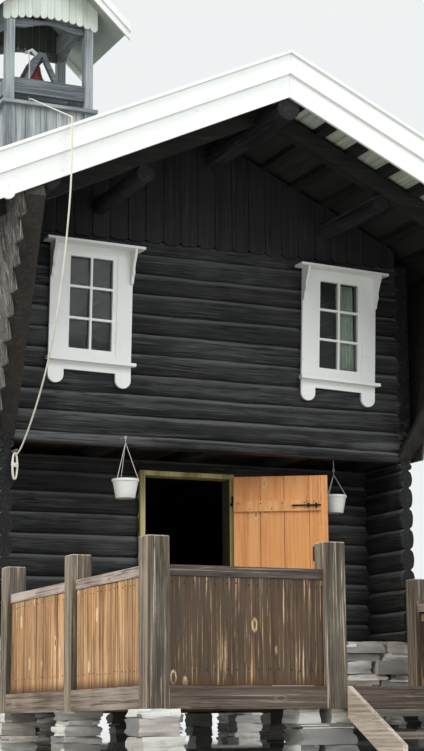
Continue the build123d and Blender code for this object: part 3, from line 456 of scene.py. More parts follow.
@dataclass(frozen=True)
class StoneFinish:
    """Flat field stones or slates: each one a little different."""

    name: str
    dark: Colour
    light: Colour
    warm: Colour
    lichen: Colour
    under: Colour | None = None
    spots: float = 0.35
    roughness: float = 0.85
    relief: float = 0.006

    @cache
    def material(self) -> Material:
        """Make the finish.

        Returns:
            The material.
        """
        graph = Surface(self.name, self.dark)
        lot = graph.lot()
        grit = graph.speckle(60.0, 4.0, 0.7)
        layers = graph.speckle((4.0, 4.0, 26.0), 4.0, 0.6, 0.5)
        growth = graph.speckle(9.0, 5.0, 0.65)
        graph.cover(lot.between(0.05, 0.95), self.light)
        graph.cover((lot * 5.0).fraction().between(0.6, 0.9) * 0.5, self.warm)
        graph.cover(layers.between(0.55, 0.35) * 0.45, self.dark)
        graph.cover(growth.between(0.58, 0.68) * self.spots, self.lichen)
        graph.cover(grit.between(0.62, 0.75) * 0.35, self.light)
        if self.under:
            graph.cover(graph.facing(2).between(-0.3, -0.6), self.under)
        return graph.finish(self.roughness - 0.1 * grit, grit * 0.3 + layers * 0.7, self.relief)


@dataclass(frozen=True)
class PaintFinish:
    """Paint on wood or metal: smooth, with faint brush marks, grime and worn spots."""

    name: str
    coat: Colour
    grime: Colour
    bare: Colour
    worn: float = 0.12
    roughness: float = 0.45

    @cache
    def material(self, grain: Grain) -> Material:
        """Make the finish.

        Args:
            grain: the way the brush marks run.

        Returns:
            The material.
        """
        graph = Surface(f"{self.name}_{grain.name.lower()}", self.coat)
        brush = graph.speckle(grain.times(2.0, 12.0), 3.0)
        clouds = graph.speckle(1.3, 5.0)
        chips = graph.speckle(grain.times(14.0, 3.4), 5.0, 0.75)
        limit = 0.79 - 0.1 * self.worn
        flaked = (chips + clouds * 0.25).between(limit, limit + 0.03)
        graph.cover(clouds.between(0.45, 0.8) * 0.5, self.grime)
        graph.cover((brush - 0.5).most(0.0) * 0.5, self.grime)
        graph.cover(flaked * self.worn * 4.0, self.bare)
        return graph.finish(self.roughness + 0.15 * clouds, brush * 0.3 - flaked * 0.6, 0.001)


@dataclass(frozen=True)
class IronFinish:
    """Forged iron or painted casting with rust or wear in patches."""

    name: str
    skin: Colour
    rust: Colour
    rusty: float = 0.4
    metallic: float = 0.6
    roughness: float = 0.6

    @cache
    def material(self) -> Material:
        """Make the finish.

        Returns:
            The material.
        """
        graph = Surface(self.name, self.skin)
        scale = graph.speckle(45.0, 4.0, 0.7)
        rusted = graph.speckle(12.0, 5.0, 0.65).between(0.5, 0.7) * self.rusty
        graph.cover(rusted, self.rust)
        graph.cover(scale.between(0.55, 0.8) * 0.3, darker(self.skin, 0.5))
        return graph.finish(self.roughness + 0.25 * rusted, scale, 0.0008, Metallic=self.metallic)


@dataclass(frozen=True)
class GlassFinish:
    """Old window glass, a little green and uneven."""

    name: str = "window_glass_finish"
    tint: Colour = (0.70, 0.76, 0.73)
    dust: Colour = (0.25, 0.28, 0.24)

    def material(self) -> Material:
        """Make the finish.

        Returns:
            The material.
        """
        graph = Surface(self.name, self.tint)
        waves = graph.speckle((3.0, 3.0, 5.0), 2.0)
        dust = graph.speckle(20.0)
        graph.cover(dust.between(0.5, 0.8) * 0.2, self.dust)
        return graph.finish(0.04 + 0.05 * dust, waves, Transmission_Weight=0.98, IOR=1.2,
                            Specular_IOR_Level=0.2)


@dataclass(frozen=True)
class FibreFinish:
    """Rope or curtain cloth: soft fibres, a little soiled."""

    name: str
    clean: Colour
    soiled: Colour
    twist: float = 90.0

    @cache
    def material(self) -> Material:
        """Make the finish.

        Returns:
            The material.
        """
        graph = Surface(self.name, self.clean)
        x, y, z = graph.axes()
        strands = ((x + y * 0.6 + z) * self.twist + graph.speckle(8.0) * 2.0).fraction()
        lay = abs(strands - 0.5)
        hair = graph.speckle(300.0, 2.0)
        graph.cover(graph.speckle(5.0, 5.0).between(0.45, 0.75) * 0.7, self.soiled)
        graph.cover(lay.between(0.3, 0.5) * 0.35, self.soiled)
        return graph.finish(0.9 - 0.05 * hair, 0.6 - lay + hair * 0.3, Sheen_Weight=0.2)


TARRED = WoodFinish("tarred_log", *paints("07080a 141619 787a78 0d0e10"), weathered=0.3, cracks=0.9,
                    crack_width=0.02, top_wear_and_highlight=0.6, heads=0.0, dark_heads=0.95, worn_below=2.9, streaky=0.3,
                    relief=0.006)
TARRED_BOARD = WoodFinish("tarred_board", *paints("0a0b0d 17181a 4e4d4a 222120"), variety=0.6,
                          weathered=0.2, cracks=0.5, streaky=0.35)
GREY_BOARD = WoodFinish("weathered_board", *paints("5c544c 968e84 bab4aa 786858"), variety=0.6,
                        weathered=0.5, cracks=0.7, knots=0.3, shade=0.5)
BOARDING = WoodFinish("boarding_wood", *paints("201e1c 56524e bcb8b2 3e362e"), variety=0.6, weathered=0.35,
                      cracks=0.9, knots=0.3, inward_shade=0.92, streaky=0.9)
STRUT = WoodFinish("strut_wood", *paints("181615 302c29 6c645c 26221f"), weathered=0.3, inward_shade=0.6,
                   shade=0.5)
STRINGER = WoodFinish("stringer_wood", *paints("807468 baac9c e2d8ca a09080"), weathered=0.5, cracks=0.6)
DECK = WoodFinish("deck_wood", *paints("4e3e32 806c5c b0a496 605044"), weathered=0.5, knots=0.3, shade=0.6,
                  streaky=0.7, sides_from=2.056, shadow=paint("302c26"))
RAIL = WoodFinish("rail_wood", *paints("483c34 867466 d8c8bc 645448"), variety=0.4, cracks=0.9, top_wear_and_highlight=0.95,
                  shade=0.75, streaky=0.6, sides_from=2.056, shadow=paint("2e2a26"))
POST = WoodFinish("post_wood", *paints("4e4238 8c7e6a d0c2ac 6c6250"), variety=0.4, weathered=0.55,
                  cracks=0.95, crack_width=0.02, top_wear_and_highlight=0.8, shade=0.65, streaky=0.8, shadow=paint("322e26"))
FENCE = WoodFinish("fence_board", *paints("7c522e d6a26c f4d6a8 96704c"), variety=0.6, weathered=0.45,
                   cracks=0.7, knots=0.95, shade=0.86, dark_below=0.514, streaky=0.85,
                   shadow=paint("2a2723"))
DOOR = WoodFinish("door_board", *paints("e29050 fcb874 ffd6a0 f0a060"), streaky=0.25, weathered=0.35,
                  cracks=0.2, knots=0.8, roughness=0.65, relief=0.0015)
FRAME = WoodFinish("door_frame_wood", *paints("968c56 d4cc8e e8e0ac bab074"), inward_shade=0.9, streaky=0.4,
                   variety=0.3, cracks=0.4, roughness=0.65)
PLAIN = WoodFinish("inside_wood", *paints("3c3026 685846 8a7a66 544436"), weathered=0.3, cracks=0.4)
# The soffit boards behind the front rafter get painted shade.
SOFFIT = WoodFinish("soffit_board", *paints("a0aa96 ccd4c6 e4eade b0baa6"), cracks=0.3, shade_behind=-2.86)
SOFFIT_DARK = WoodFinish("soffit_batten", *paints("0d0d0d 1d1c1b 484642 141312"), variety=0.4,
                         weathered=0.3, cracks=0.5)
TOWER = WoodFinish("tower_wood", *paints("687074 9ea6a8 c8cecc 80888c"), weathered=0.55)
TOWER_DARK = WoodFinish("tower_rail_wood", *paints("42484c 70787c a8aeae 585e62"))
TOWER_SKIRT = WoodFinish("tower_skirt_wood", *paints("788082 b4baba d4d8d4 92989a"), weathered=0.5,
                         cracks=0.7)
SCALLOP = WoodFinish("scalloped_board", *paints("c4cec2 e2e9de eef2ea d2dbce"), inner_shade_at=4.105,
                     streaky=0.2, variety=0.4, cracks=0.15, roughness=0.6, relief=0.001)
WHITE = PaintFinish("white_paint", *paints("eaece8 d6d9d2 969288"))
POT_WHITE = PaintFinish("pot_enamel", *paints("e8e8e2 cecec6 787064"), worn=0.05, roughness=0.35)
STONE = StoneFinish("field_stone", *paints("787876 e2e1da c4b8a8 969880"))
SLATE = StoneFinish("roof_slate", *paints("3a3e44 686c70 5c5a58 787e68"), under=paint("a8b0a4"), spots=0.25,
                    roughness=0.65, relief=0.003)
IRON = IronFinish("forged_iron", *paints("1e1d1d 5c3420"))
ROPE = FibreFinish("rope_fibre", *paints("e2ded0 a8a08c"))
CURTAIN = FibreFinish("curtain_cloth", *paints("ced4c8 a8b0a2"), twist=30.0)


# Mesh work
class Shape:
    """A mesh that is built up of separate boards, stones or turned pieces."""

    def __init__(self, seed: int) -> None:
        """Start an empty mesh with its own random numbers."""
        self.points: list[Vector] = []
        self.faces: list[tuple[int, ...]] = []
        self.chance = random.Random(seed)

    def give(self, limit: float) -> float:
        """Draw a small length, from 0 to a limit."""
        return self.chance.uniform(0.0, limit)

    def add(self, points: list[Vector], faces: list[tuple[int, ...]]) -> None:
        """Add a closed piece.

        Args:
            points: its points.
            faces: its faces, counted from its own first point.
        """
        start = len(self.points)
        self.points += points
        self.faces += [tuple(start + k for k in face) for face in faces]

    def box(self, x: Span, y: Span, z: Span, turn: Matrix = Matrix()) -> None:
        """Add a squared piece between two corners.

        Args:
            x: low and high along X.
            y: low and high along Y.
            z: low and high along Z.
            turn: a move of the piece.
        """
        corners = [turn @ Vector((a, b, c)) for c in z for b in y for a in x]
        self.add(corners, [(0, 2, 3, 1), (4, 5, 7, 6), (0, 1, 5, 4), (2, 6, 7, 3), (0, 4, 6, 2),
                           (1, 3, 7, 5)])

    def prism(self, outline: Outline, span: Span) -> None:
        """Add an outline made solid along Y.

        Args:
            outline: points in X and Z.
            span: low and high along Y.
        """
        self.rings([[Vector((x, y, z)) for x, z in outline] for y in span])

    def rings(self, rings: list[list[Vector]]) -> None:
        """Add a closed skin over rings of as many points each.

        Args:
            rings: the rings, from one end to the other.
        """
        count = len(rings[0])
        last = (len(rings) - 1) * count
        faces = [(r + k, r + (k + 1) % count, r + count + (k + 1) % count, r + count + k)
                 for r in range(0, last, count) for k in range(count)]
        ends = [tuple(range(count))[::-1], tuple(range(last, last + count))]
        self.add([point for ring in rings for point in ring], faces + ends)

    def turned(self, profile: Outline, centre: Point, sides: int, flutes: float = 0.0) -> None:
        """Add a piece turned about an upright axis.

        Args:
            profile: (radius, height) points along the outline.
            centre: where the axis and the height 0 are.
            sides: faces round it.
            flutes: depth of ribs round it, as a share of the radius.
        """
        rings = []
        for radius, height in profile:
            ring = []
            for k in range(sides):
                reach = radius * (1 - flutes * (k % 2))
                ring.append(Vector(centre) + round_point(k / sides, reach) + Vector((0, 0, height)))
            rings.append(ring)
        self.rings(rings)

    def tube(self, path: list[Vector], radius: float, sides: int = 8) -> None:
        """Add a round bar along points.

        Args:
            path: the points.
            radius: radius of the bar.
            sides: faces round it.
        """
        rings = []
        for k, point in enumerate(path):
            ahead = (path[min(k + 1, len(path) - 1)] - path[max(k - 1, 0)]).normalized()
            side = (side - ahead * side.dot(ahead)).normalized() if rings else ahead.orthogonal().normalized()
            up = ahead.cross(side)
            turns = [2 * math.pi * j / sides for j in range(sides)]
            rings.append([point + radius * (math.cos(t) * side + math.sin(t) * up) for t in turns])
        self.rings(rings)

    def nail(self, centre: Vector, facing: Vector, radius: float) -> None:
        """Add a nail head that stands proud of a face."""
        self.tube([centre + facing * level for level in NAIL_LEVELS], radius, 6)

    def piece(self, name: str, material: Material, slot: str, body: str = "building",
              stands_for: str = "", bevel: float = 0.0, smooth: bool = False,
              sharp: float = 0.0) -> bpy.types.Object:
        """Make the object, move it into the frame and let it ride.

        Args:
            name: the piece's name.
            material: its finish.
            slot: the material slot of the record that it takes its finish from; not used.
            body: the body that it rides on.
            stands_for: the node that it replaces, if any.
            bevel: width of the rounded edges.
            smooth: whether the faces are shaded smooth.
            sharp: the turn in degrees from which an edge of a smooth piece stays crisp, or 0 for none.

        Returns:
            The object.
        """
        mesh = bpy.data.meshes.new(name)
        mesh.from_pydata([point + HOUSE_SHIFT for point in self.points], [], self.faces)
        work = bmesh.new()
        work.from_mesh(mesh)
        bmesh.ops.recalc_face_normals(work, faces=work.faces)
        if bevel:
            bmesh.ops.bevel(work, geom=work.edges[:], offset=bevel, segments=1, profile=0.7, affect="EDGES")
        work.to_mesh(mesh)
        work.free()
        if smooth:
            mesh.shade_smooth()
        if sharp:
            mesh.set_sharp_from_angle(angle=math.radians(sharp))
        mesh.materials.append(material)
        made = show(name, mesh)
        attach(made, body)
        if stands_for:
            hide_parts(stands_for)
        triangles = sum(len(face.vertices) - 2 for face in mesh.polygons)
        log.info("%s: %d triangles on %s", name, triangles, body)
        return made


def show(name: str, data: bpy.types.ID) -> bpy.types.Object:
    """Put a mesh, curve, lamp or camera into the scene.

    Args:
        name: the object's name.
        data: what it shows.

    Returns:
        The object.
    """
    made = bpy.data.objects.new(name, data)
    bpy.context.scene.collection.objects.link(made)
    return made


def round_point(share: float, radius: float) -> Vector:
    """Give a point of a level circle, at a share of its way round."""
    return Vector((radius * math.cos(2 * math.pi * share), radius * math.sin(2 * math.pi * share), 0.0))


def between(span: Span, share: float) -> float:
    """Give the place at a share of the way along a span."""
    return span[0] + share * (span[1] - span[0])


# Stone piers
@dataclass
class StonePiers:
    """Dry stone piers of flat field stones, under the house and the platform."""

    house_top: float = 1.05
    platform_top: float = 0.34
    course: Span = (0.035, 0.125)
    stone_length: float = 0.62
    gap: float = 0.008
    recess: float = 0.045
    uneven: float = 0.016
    overlap: float = 0.004
    house: tuple[Room, ...] = (
        ((1.44, 2.26), (0.03, 0.905)), ((1.80, 2.29), (3.51, 4.13)), ((1.56, 2.30), (6.10, 6.90)))
    platform: tuple[Room, ...] = (
        ((1.945, 2.345), (-3.803, -3.403)), ((1.945, 2.345), (-2.142, -1.742)),
        ((1.945, 2.345), (-0.459, -0.059)), ((0.434, 0.994), (-3.686, -3.286)), ((0.69, 0.95), (0.34, 0.60)))
    middle: Room = ((-0.13, 0.13), (0.34, 0.60))

    def __post_init__(self) -> None:
        """Make the grid that each stone is shaped from."""
        work = bmesh.new()
        bmesh.ops.create_cube(work, size=2.0)
        bmesh.ops.subdivide_edges(work, edges=work.edges[:], cuts=3, use_grid_fill=True)
        work.verts.index_update()
        self.unit = [vert.co.copy() for vert in work.verts]
        self.unit_faces = [tuple(vert.index for vert in face.verts) for face in work.faces]
        work.free()

    def stone(self, shape: Shape, x: Span, y: Span, z: Span) -> None:
        """Add one stone with worn corners and an uneven skin.

        Args:
            shape: the mesh.
            x: room along X.
            y: room along Y.
            z: room along Z.
        """
        low, high = z
        centre = Vector((sum(x), sum(y), sum(z))) / 2
        half = Vector((x[1] - x[0], y[1] - y[0], (high - low) * 1.06)) / 2
        drift = Vector([shape.chance.uniform(0, 50) for _ in range(3)])
        bottom = low - self.overlap if low > 0.01 else 0.0
        top = high if high > self.house_top - 0.02 else high + self.overlap
        points = []
        for corner in self.unit:
            wobble = noise.noise(corner + drift) * 0.20 + noise.noise(corner * 2.4 + drift) * 0.08
            place = corner.lerp(corner.normalized() * 1.25, 0.10) * (0.95 + wobble)
            point = centre + Vector([max(-1.0, min(1.0, v)) * size for v, size in zip(place, half)])
            point.z = max(bottom, min(top, point.z))
            points.append(point)
        shape.add(points, self.unit_faces)

    def split(self, chance: random.Random, x: Span, y: Span) -> list[Room]:
        """Divide a course into stones by random cuts.

        Args:
            chance: random numbers.
            x: the course along X.
            y: the course along Y.

        Returns:
            The room of each stone along X and Y.
        """
        wide, deep = x[1] - x[0], y[1] - y[0]
        if max(wide, deep) <= self.stone_length * chance.uniform(0.7, 1.2):
            return [(x, y)]
        share = chance.uniform(0.36, 0.64)
        if wide > deep:
            cut = x[0] + share * wide
            return self.split(chance, (x[0], cut), y) + self.split(chance, (cut, x[1]), y)
        cut = y[0] + share * deep
        return self.split(chance, x, (y[0], cut)) + self.split(chance, x, (cut, y[1]))

    def pier(self, shape: Shape, x: Span, y: Span, top: float) -> None:
        """Add a pier in uneven courses.

        Args:
            shape: the mesh.
            x: the pier along X.
            y: the pier along Y.
            top: its height.
        """
        heights = []
        while sum(heights) < top - 0.05:
            heights.append(shape.chance.uniform(*self.course))
        scale = top / sum(heights)
        low = 0.0
        for height in heights:
            high = low + height * scale
            inset = [shape.give(self.uneven) for _ in range(4)]
            room = ((x[0] + inset[0], x[1] - inset[1]), (y[0] + inset[2], y[1] - inset[3]))
            for across, along in self.split(shape.chance, *room):
                back = [self.gap + shape.chance.random() ** 2 * self.recess for _ in range(4)]
                self.stone(shape, (across[0] + back[0], across[1] - back[1]),
                           (along[0] + back[2], along[1] - back[3]), (low, high))
            low = high

    def build(self) -> None:
        """Make the piers of the house and those of the platform, each with its mirror image."""
        house, platform = Shape(3), Shape(5)
        for shape, places, top in ((house, self.house, self.house_top),
                                   (platform, self.platform, self.platform_top)):
            for x, y in places:
                self.pier(shape, x, y, top)
                self.pier(shape, (-x[1], -x[0]), y, top)
        self.pier(platform, *self.middle, self.platform_top)
        house.piece("house_pier_stones", STONE.material(), "stone", stands_for="stone_piers", smooth=True,
                    sharp=32)
        platform.piece("platform_pier_stones", STONE.material(), "stone", smooth=True, sharp=32)


# Log walls
@dataclass
class LogWall:
    """A wall of logs: round faces, and joints that wander a little."""

    along: str
    faces: Span
    levels: list[float]
    number: int = 0
    hollow: float = 0.042
    station: float = 0.075
    ragged: float = 0.007
    steps: int = 8
    least: float = 0.004

    def edge(self, joint: int, place: float) -> float:
        """Give how far a joint wanders up or down at a place along the wall.

        Args:
            joint: the joint, counted from below.
            place: the place.

        Returns:
            The height that it gains or loses.
        """
        slow = noise.noise(Vector((place * 0.9, joint * 7.7, self.number * 3.1)))
        quick = noise.noise(Vector((place * 3.7, joint * 5.3, self.number * 9.1)))
        return 0.010 * slow + 0.004 * quick

    def log(self, shape: Shape, span: Span, row: int, room: Span | None = None) -> None:
        """Add a log, or the part of it within a range of heights.

        Args:
            shape: the mesh.
            span: where the log starts and ends.
            row: the log's place from below.
            room: heights to keep to.
        """
        low, high = self.levels[row:row + 2]
        keep = (max(low, room[0]), min(high, room[1])) if room else (low, high)
        if keep[1] - keep[0] < self.least:
            return
        count = max(2, round((span[1] - span[0]) / self.station))
        bottom = row > 0 and keep[0] == low
        top = row < len(self.levels) - 2 and keep[1] == high
        rings = []
        for s in range(count + 1):
            place = span[0] + (span[1] - span[0]) * s / count
            drop = self.edge(row, place) if bottom else 0.0
            lift = self.edge(row + 1, place) if top else 0.0
            near, far = [], []
            for j in range(self.steps + 1):
                z = keep[0] + (keep[1] - keep[0]) * j / self.steps
                share = (z - low) / (high - low)
                sunk = self.hollow * (1 - math.sqrt(max(0.0, 1 - (2 * share - 1) ** 2)))
                height = z + drop * (1 - share) + lift * share
                grain = noise.noise(Vector((place * 2.1, z * 16.0, self.number * 4.0 + row)))
                skin = sunk + self.ragged * (0.5 + 0.5 * grain)
                for points, across in ((near, self.faces[0] + skin), (far, self.faces[1] - skin)):
                    level = (place, across) if self.along == "X" else (across, place)
                    points.append(Vector((*level, height)))
            rings.append(near + far[::-1])
        shape.rings(rings)

    def lay(self, shape: Shape, spans: list[Span], holes: tuple[Room, ...] = ()) -> None:
        """Add the logs of the wall, cut round its openings.

        Args:
            shape: the mesh.
            spans: stretches of the wall.
            holes: openings, each as its range along the wall and its heights.
        """
        for row in range(len(self.levels) - 1):
            low, high = self.levels[row:row + 2]
            open_here = sorted(hole for hole in holes if hole[1][0] < high and hole[1][1] > low)
            for start, end in spans:
                place = start
                for across, heights in open_here:
                    self.log(shape, (place, across[0]), row)
                    self.log(shape, across, row, (low, heights[0]))
                    self.log(shape, across, row, (heights[1], high))
                    place = across[1]
                self.log(shape, (place, end), row)


@dataclass
class LogStorey:
    """One storey of four log walls that cross at the corners."""

    name: str
    levels: list[float]
    front: Span
    side_y: Span
    ends: float
    holes: tuple[Room, ...] = ()
    doorway: Room | None = None

    def around_door(self, wall: LogWall, shape: Shape, reach: float) -> None:
        """Make the front wall beside its doorway, and the logs under and over it.

        Args:
            wall: the front wall.
            shape: its mesh.
            reach: half the wall's length.
        """
        gap, heights = self.doorway
        wall.lay(shape, [(-reach, gap[0]), (gap[1], reach)])
        over = Shape(14)
        for row in range(len(self.levels) - 1):
            for room in ((0.0, heights[0]), (heights[1], self.levels[-1])):
                wall.log(over, gap, row, room)
        over.piece("doorway_log_ends", TARRED.material(Grain.ACROSS, True), "weathered_logs",
                   stands_for="doorway_logs", smooth=True)

    def build(self) -> None:
        """Make the four walls; the side walls lie half a log higher."""
        reach = HALF_WIDTH + self.ends
        middles = [(a + b) / 2 for a, b in zip(self.levels, self.levels[1:])]
        crossed = [self.levels[0], *middles, self.levels[-1]]
        front, back, sides = Shape(11), Shape(12), Shape(13)
        wall = LogWall("X", self.front, self.levels)
        if self.doorway:
            self.around_door(wall, front, reach)
        else:
            wall.lay(front, [(-reach, reach)], self.holes)
        LogWall("X", (HOUSE_LENGTH - WALL, HOUSE_LENGTH), self.levels, 1).lay(back, [(-reach, reach)])
        LogWall("Y", (-HALF_WIDTH, WALL - HALF_WIDTH), crossed, 2).lay(sides, [self.side_y])
        LogWall("Y", (HALF_WIDTH - WALL, HALF_WIDTH), crossed, 3).lay(sides, [self.side_y])
        for shape, side, grain in ((front, "front_wall", Grain.ACROSS), (back, "back_wall", Grain.ACROSS),
                                   (sides, "side_walls", Grain.INTO)):
            node = f"{self.name}_{side}"
            made = shape.piece(f"{node}_logs", TARRED.material(grain, True), "weathered_logs",
                               stands_for=node, smooth=True)
            for head in (face for face in made.data.polygons if len(face.vertices) > 4):
                head.use_smooth = False


# Boards
@dataclass
class GableBoards:
    """Tarred boards of the two gables, with cut lower ends."""

    half: float = 2.08
    count: int = 22
    low: float = 4.95
    apex: float = 6.119
    cut: float = 0.026
    point: float = 0.03
    uneven_foot: float = 0.006
    uneven_face: float = 0.005
    faces: tuple[Span, ...] = ((-0.030, -0.004), (6.904, 6.930))

    def build(self) -> None:
        """Make the boards."""
        shape = Shape(21)
        width = 2 * self.half / self.count
        for face in self.faces:
            for k in range(self.count):
                x = (-self.half + k * width + JOINT, -self.half + (k + 1) * width - JOINT)
                tip = self.low + shape.give(self.uneven_foot)
                outline = [(x[0], tip + self.cut), (x[0] + self.point, tip), (x[1] - self.point, tip),
                           (x[1], tip + self.cut)]
                outline += under_slope(x, self.apex, SLOPE)
                give = shape.give(self.uneven_face)
                shape.prism(outline, (face[0] + give, face[1]) if face[0] < 1 else (face[0], face[1] - give))
        shape.piece("gable_board_rows", TARRED_BOARD.material(Grain.UP, True), "tarred_wood",
                    stands_for="gable_boards", bevel=JOINT)


def under_slope(x: Span, apex: float, slope: float) -> list[Span]:
    """Give the top of a gable board, from right to left.

    Args:
        x: the board's edges.
        apex: height of the gable's point.
        slope: fall of the roof.

    Returns:
        The top's points, with the gable's point where the board reaches over the middle.
    """
    middle = [0.0] if x[0] < 0 < x[1] else []
    return [(place, apex - abs(place) * slope) for place in (x[1], *middle, x[0])]


@dataclass
class SideBoarding:
    """Leaning boards that close the jetties along the eaves, with stepped lower ends."""

    low: float = 2.905
    high: float = 4.895
    foot: float = 2.27
    lean: float = math.tan(math.radians(9.0))
    thick: float = 0.028
    start: float = -1.67
    end: float = 7.65
    count: int = 55
    reach_front: float = 1.69
    reach_back: float = 0.64
    strut: Span = (3.01, 4.8956)
    hang: float = 0.06
    uneven: float = 0.006

    def inner(self, z: float) -> float:
        """Give the inner face of the boards at a height."""
        return self.foot + (z - self.low) * self.lean

    def lower_end(self, y: Span) -> float:
        """Give the foot of a board, which steps up along the strut.

        Args:
            y: the board's edges.

        Returns:
            The height of its foot.
        """
        along = max(-y[1] / self.reach_front, (y[0] - HOUSE_LENGTH) / self.reach_back)
        return max(self.low, between(self.strut, along) - self.hang) if along > 0 else self.low

    def build(self) -> None:
        """Make the boards of both sides."""
        shape = Shape(31)
        width = (self.end - self.start) / self.count
        for hand in (-1, 1):
            for k in range(self.count):
                y = (self.start + k * width, self.start + (k + 1) * width)
                low = self.lower_end(y)
                thick = self.thick - shape.give(self.uneven)
                outline = [(self.inner(low), low), (self.inner(low) + thick, low),
                           (self.inner(self.high) + thick, self.high), (self.inner(self.high), self.high)]
                shape.prism([(hand * x, z) for x, z in outline], (y[0] + JOINT, y[1] - JOINT))
        shape.piece("side_boarding_rows", BOARDING.material(Grain.UP, True), "weathered_logs",
                    stands_for="side_boarding", bevel=JOINT)


# Roofs
@dataclass
class SlatedRoof:
    """A roof of two slopes in overlapping slates on a bed."""

    name: str
    node: str
    apex_under: float
    slope: float
    eave: float
    span: Span
    row: float
    slate: float
    depth: float = 0.07
    sink: float = 0.022
    tail: float = 0.014
    thick: float = 0.009
    lap: float = 1.35
    gap: float = 0.003
    least: float = 0.02
    uneven_tail: float = 0.012
    uneven_lift: float = 0.004

    def top(self, x: float, sunk: float = 0.0) -> float:
        """Give the height of the roof's upper face at x, less a depth across it."""
        return self.apex_under + (self.depth - sunk) * math.sqrt(1 + self.slope ** 2) - abs(x) * self.slope

    def course(self, shape: Shape, hand: int, number: int, step: float) -> None:
        """Add one course of slates; every other one starts half a slate further on.

        Args:
            shape: the mesh.
            hand: -1 for the left slope, 1 for the right one.
            number: the course, counted from the eave.
            step: what one course covers, measured level.
        """
        tail = self.eave - number * step
        head = max(0.004, tail - self.lap * step)
        place = self.span[0] - (self.slate / 2 if number % 2 else 0.0)
        while place < self.span[1] - self.least / 2:
            wide = self.slate * shape.chance.uniform(0.85, 1.15)
            y = (max(self.span[0], place), min(self.span[1], place + wide - self.gap))
            place += wide
            if y[1] - y[0] < self.least:
                continue
            give, lift = shape.give(self.uneven_tail), shape.give(self.uneven_lift)
            low = tail - give if number else tail
            outline = ((head, self.sink), (low, self.tail + lift), (low, lift),
                       (head, self.sink - self.thick))
            shape.prism([(hand * x, self.top(x, sunk)) for x, sunk in outline], y)

    def build(self) -> None:
        """Make the bed and the slates."""
        shape = Shape(41)
        rows = max(1, round(self.eave * math.sqrt(1 + self.slope ** 2) / self.row))
        bed = ((0.0, self.depth), (self.eave, self.depth), (self.eave, self.sink), (0.0, self.sink))
        for hand in (-1, 1):
            shape.prism([(hand * x, self.top(x, sunk)) for x, sunk in bed], self.span)
            for number in range(rows):
                self.course(shape, hand, number, self.eave / rows)
        shape.piece(self.name, SLATE.material(), "slate", stands_for=self.node)


# Bell tower
@dataclass
class TowerGables:
    """Upright boards of the tower's gables with round scalloped ends."""

    half: float = 0.655
    reach: float = 0.624
    thick: float = 0.026
    count: int = 13
    crown: float = 9.392
    fall: float = 0.100
    apex: float = 10.1499
    arc_steps: int = 10
    gap: float = 0.001
    uneven: float = 0.003

    def build(self) -> None:
        """Make the boards of both gables."""
        shape = Shape(51)
        width = 2 * self.half / self.count
        radius = width / 2 - self.gap
        for hand in (-1, 1):
            face = TOWER_MIDDLE + hand * self.reach
            for k in range(self.count):
                middle = -self.half + (k + 0.5) * width
                low = self.crown - self.fall * (middle / self.half) ** 2
                arc = [round_point(0.5 + 0.5 * j / self.arc_steps, radius) for j in range(self.arc_steps + 1)]
                outline = [(middle + point.x, low + point.y) for point in arc]
                outline += under_slope((middle - radius, middle + radius), self.apex, TOWER_SLOPE)
                give = shape.give(self.uneven)
                shape.prism(outline, sorted((face - hand * give, face - hand * self.thick)))
        shape.piece("tower_gable_scallops", SCALLOP.material(Grain.UP, True), "tower_wood",
                    stands_for="tower_gable_boards", bevel=0.0015)


@dataclass
class BellShell:
    """The bell itself, turned, with a bead above its lip and a clapper.

    The outlines are shares of the radius and of the height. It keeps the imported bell's own coat.
    """

    centre: Point = (0.0, TOWER_MIDDLE, 8.915)
    radius: float = 0.135
    height: float = 0.24
    ball: float = 0.026
    stem: float = 0.007
    outer: Outline = (
        (0.02, 0.0), (0.33, -0.015), (0.45, -0.07), (0.50, -0.2), (0.55, -0.38), (0.62, -0.56), (0.72, -0.74),
        (0.80, -0.84), (0.835, -0.845), (0.835, -0.875), (0.87, -0.885), (0.96, -0.965), (1.0, -1.0))
    inner: Outline = (
        (0.9, -1.0), (0.80, -0.9), (0.62, -0.74), (0.50, -0.5), (0.42, -0.2), (0.3, -0.08), (0.02, -0.07))

    def build(self) -> None:
        """Make the bell and its clapper."""
        shape = Shape(61)
        profile = [(self.radius * r, self.height * z) for r, z in self.outer + self.inner]
        shape.turned(profile, self.centre, 48)
        foot = self.height * -0.91
        arc = [math.pi * k / 8 for k in range(8, 0, -1)]
        clapper = [(max(0.001, self.ball * math.sin(t)), foot + self.ball * math.cos(t)) for t in arc]
        shape.turned(clapper + [(self.stem, foot + self.ball), (self.stem, -0.02)], self.centre, 16)
        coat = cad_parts["bell"].data.materials[0]
        shape.piece("bell_shell", coat, "bell_paint", "bell", "bell", smooth=True, sharp=40)


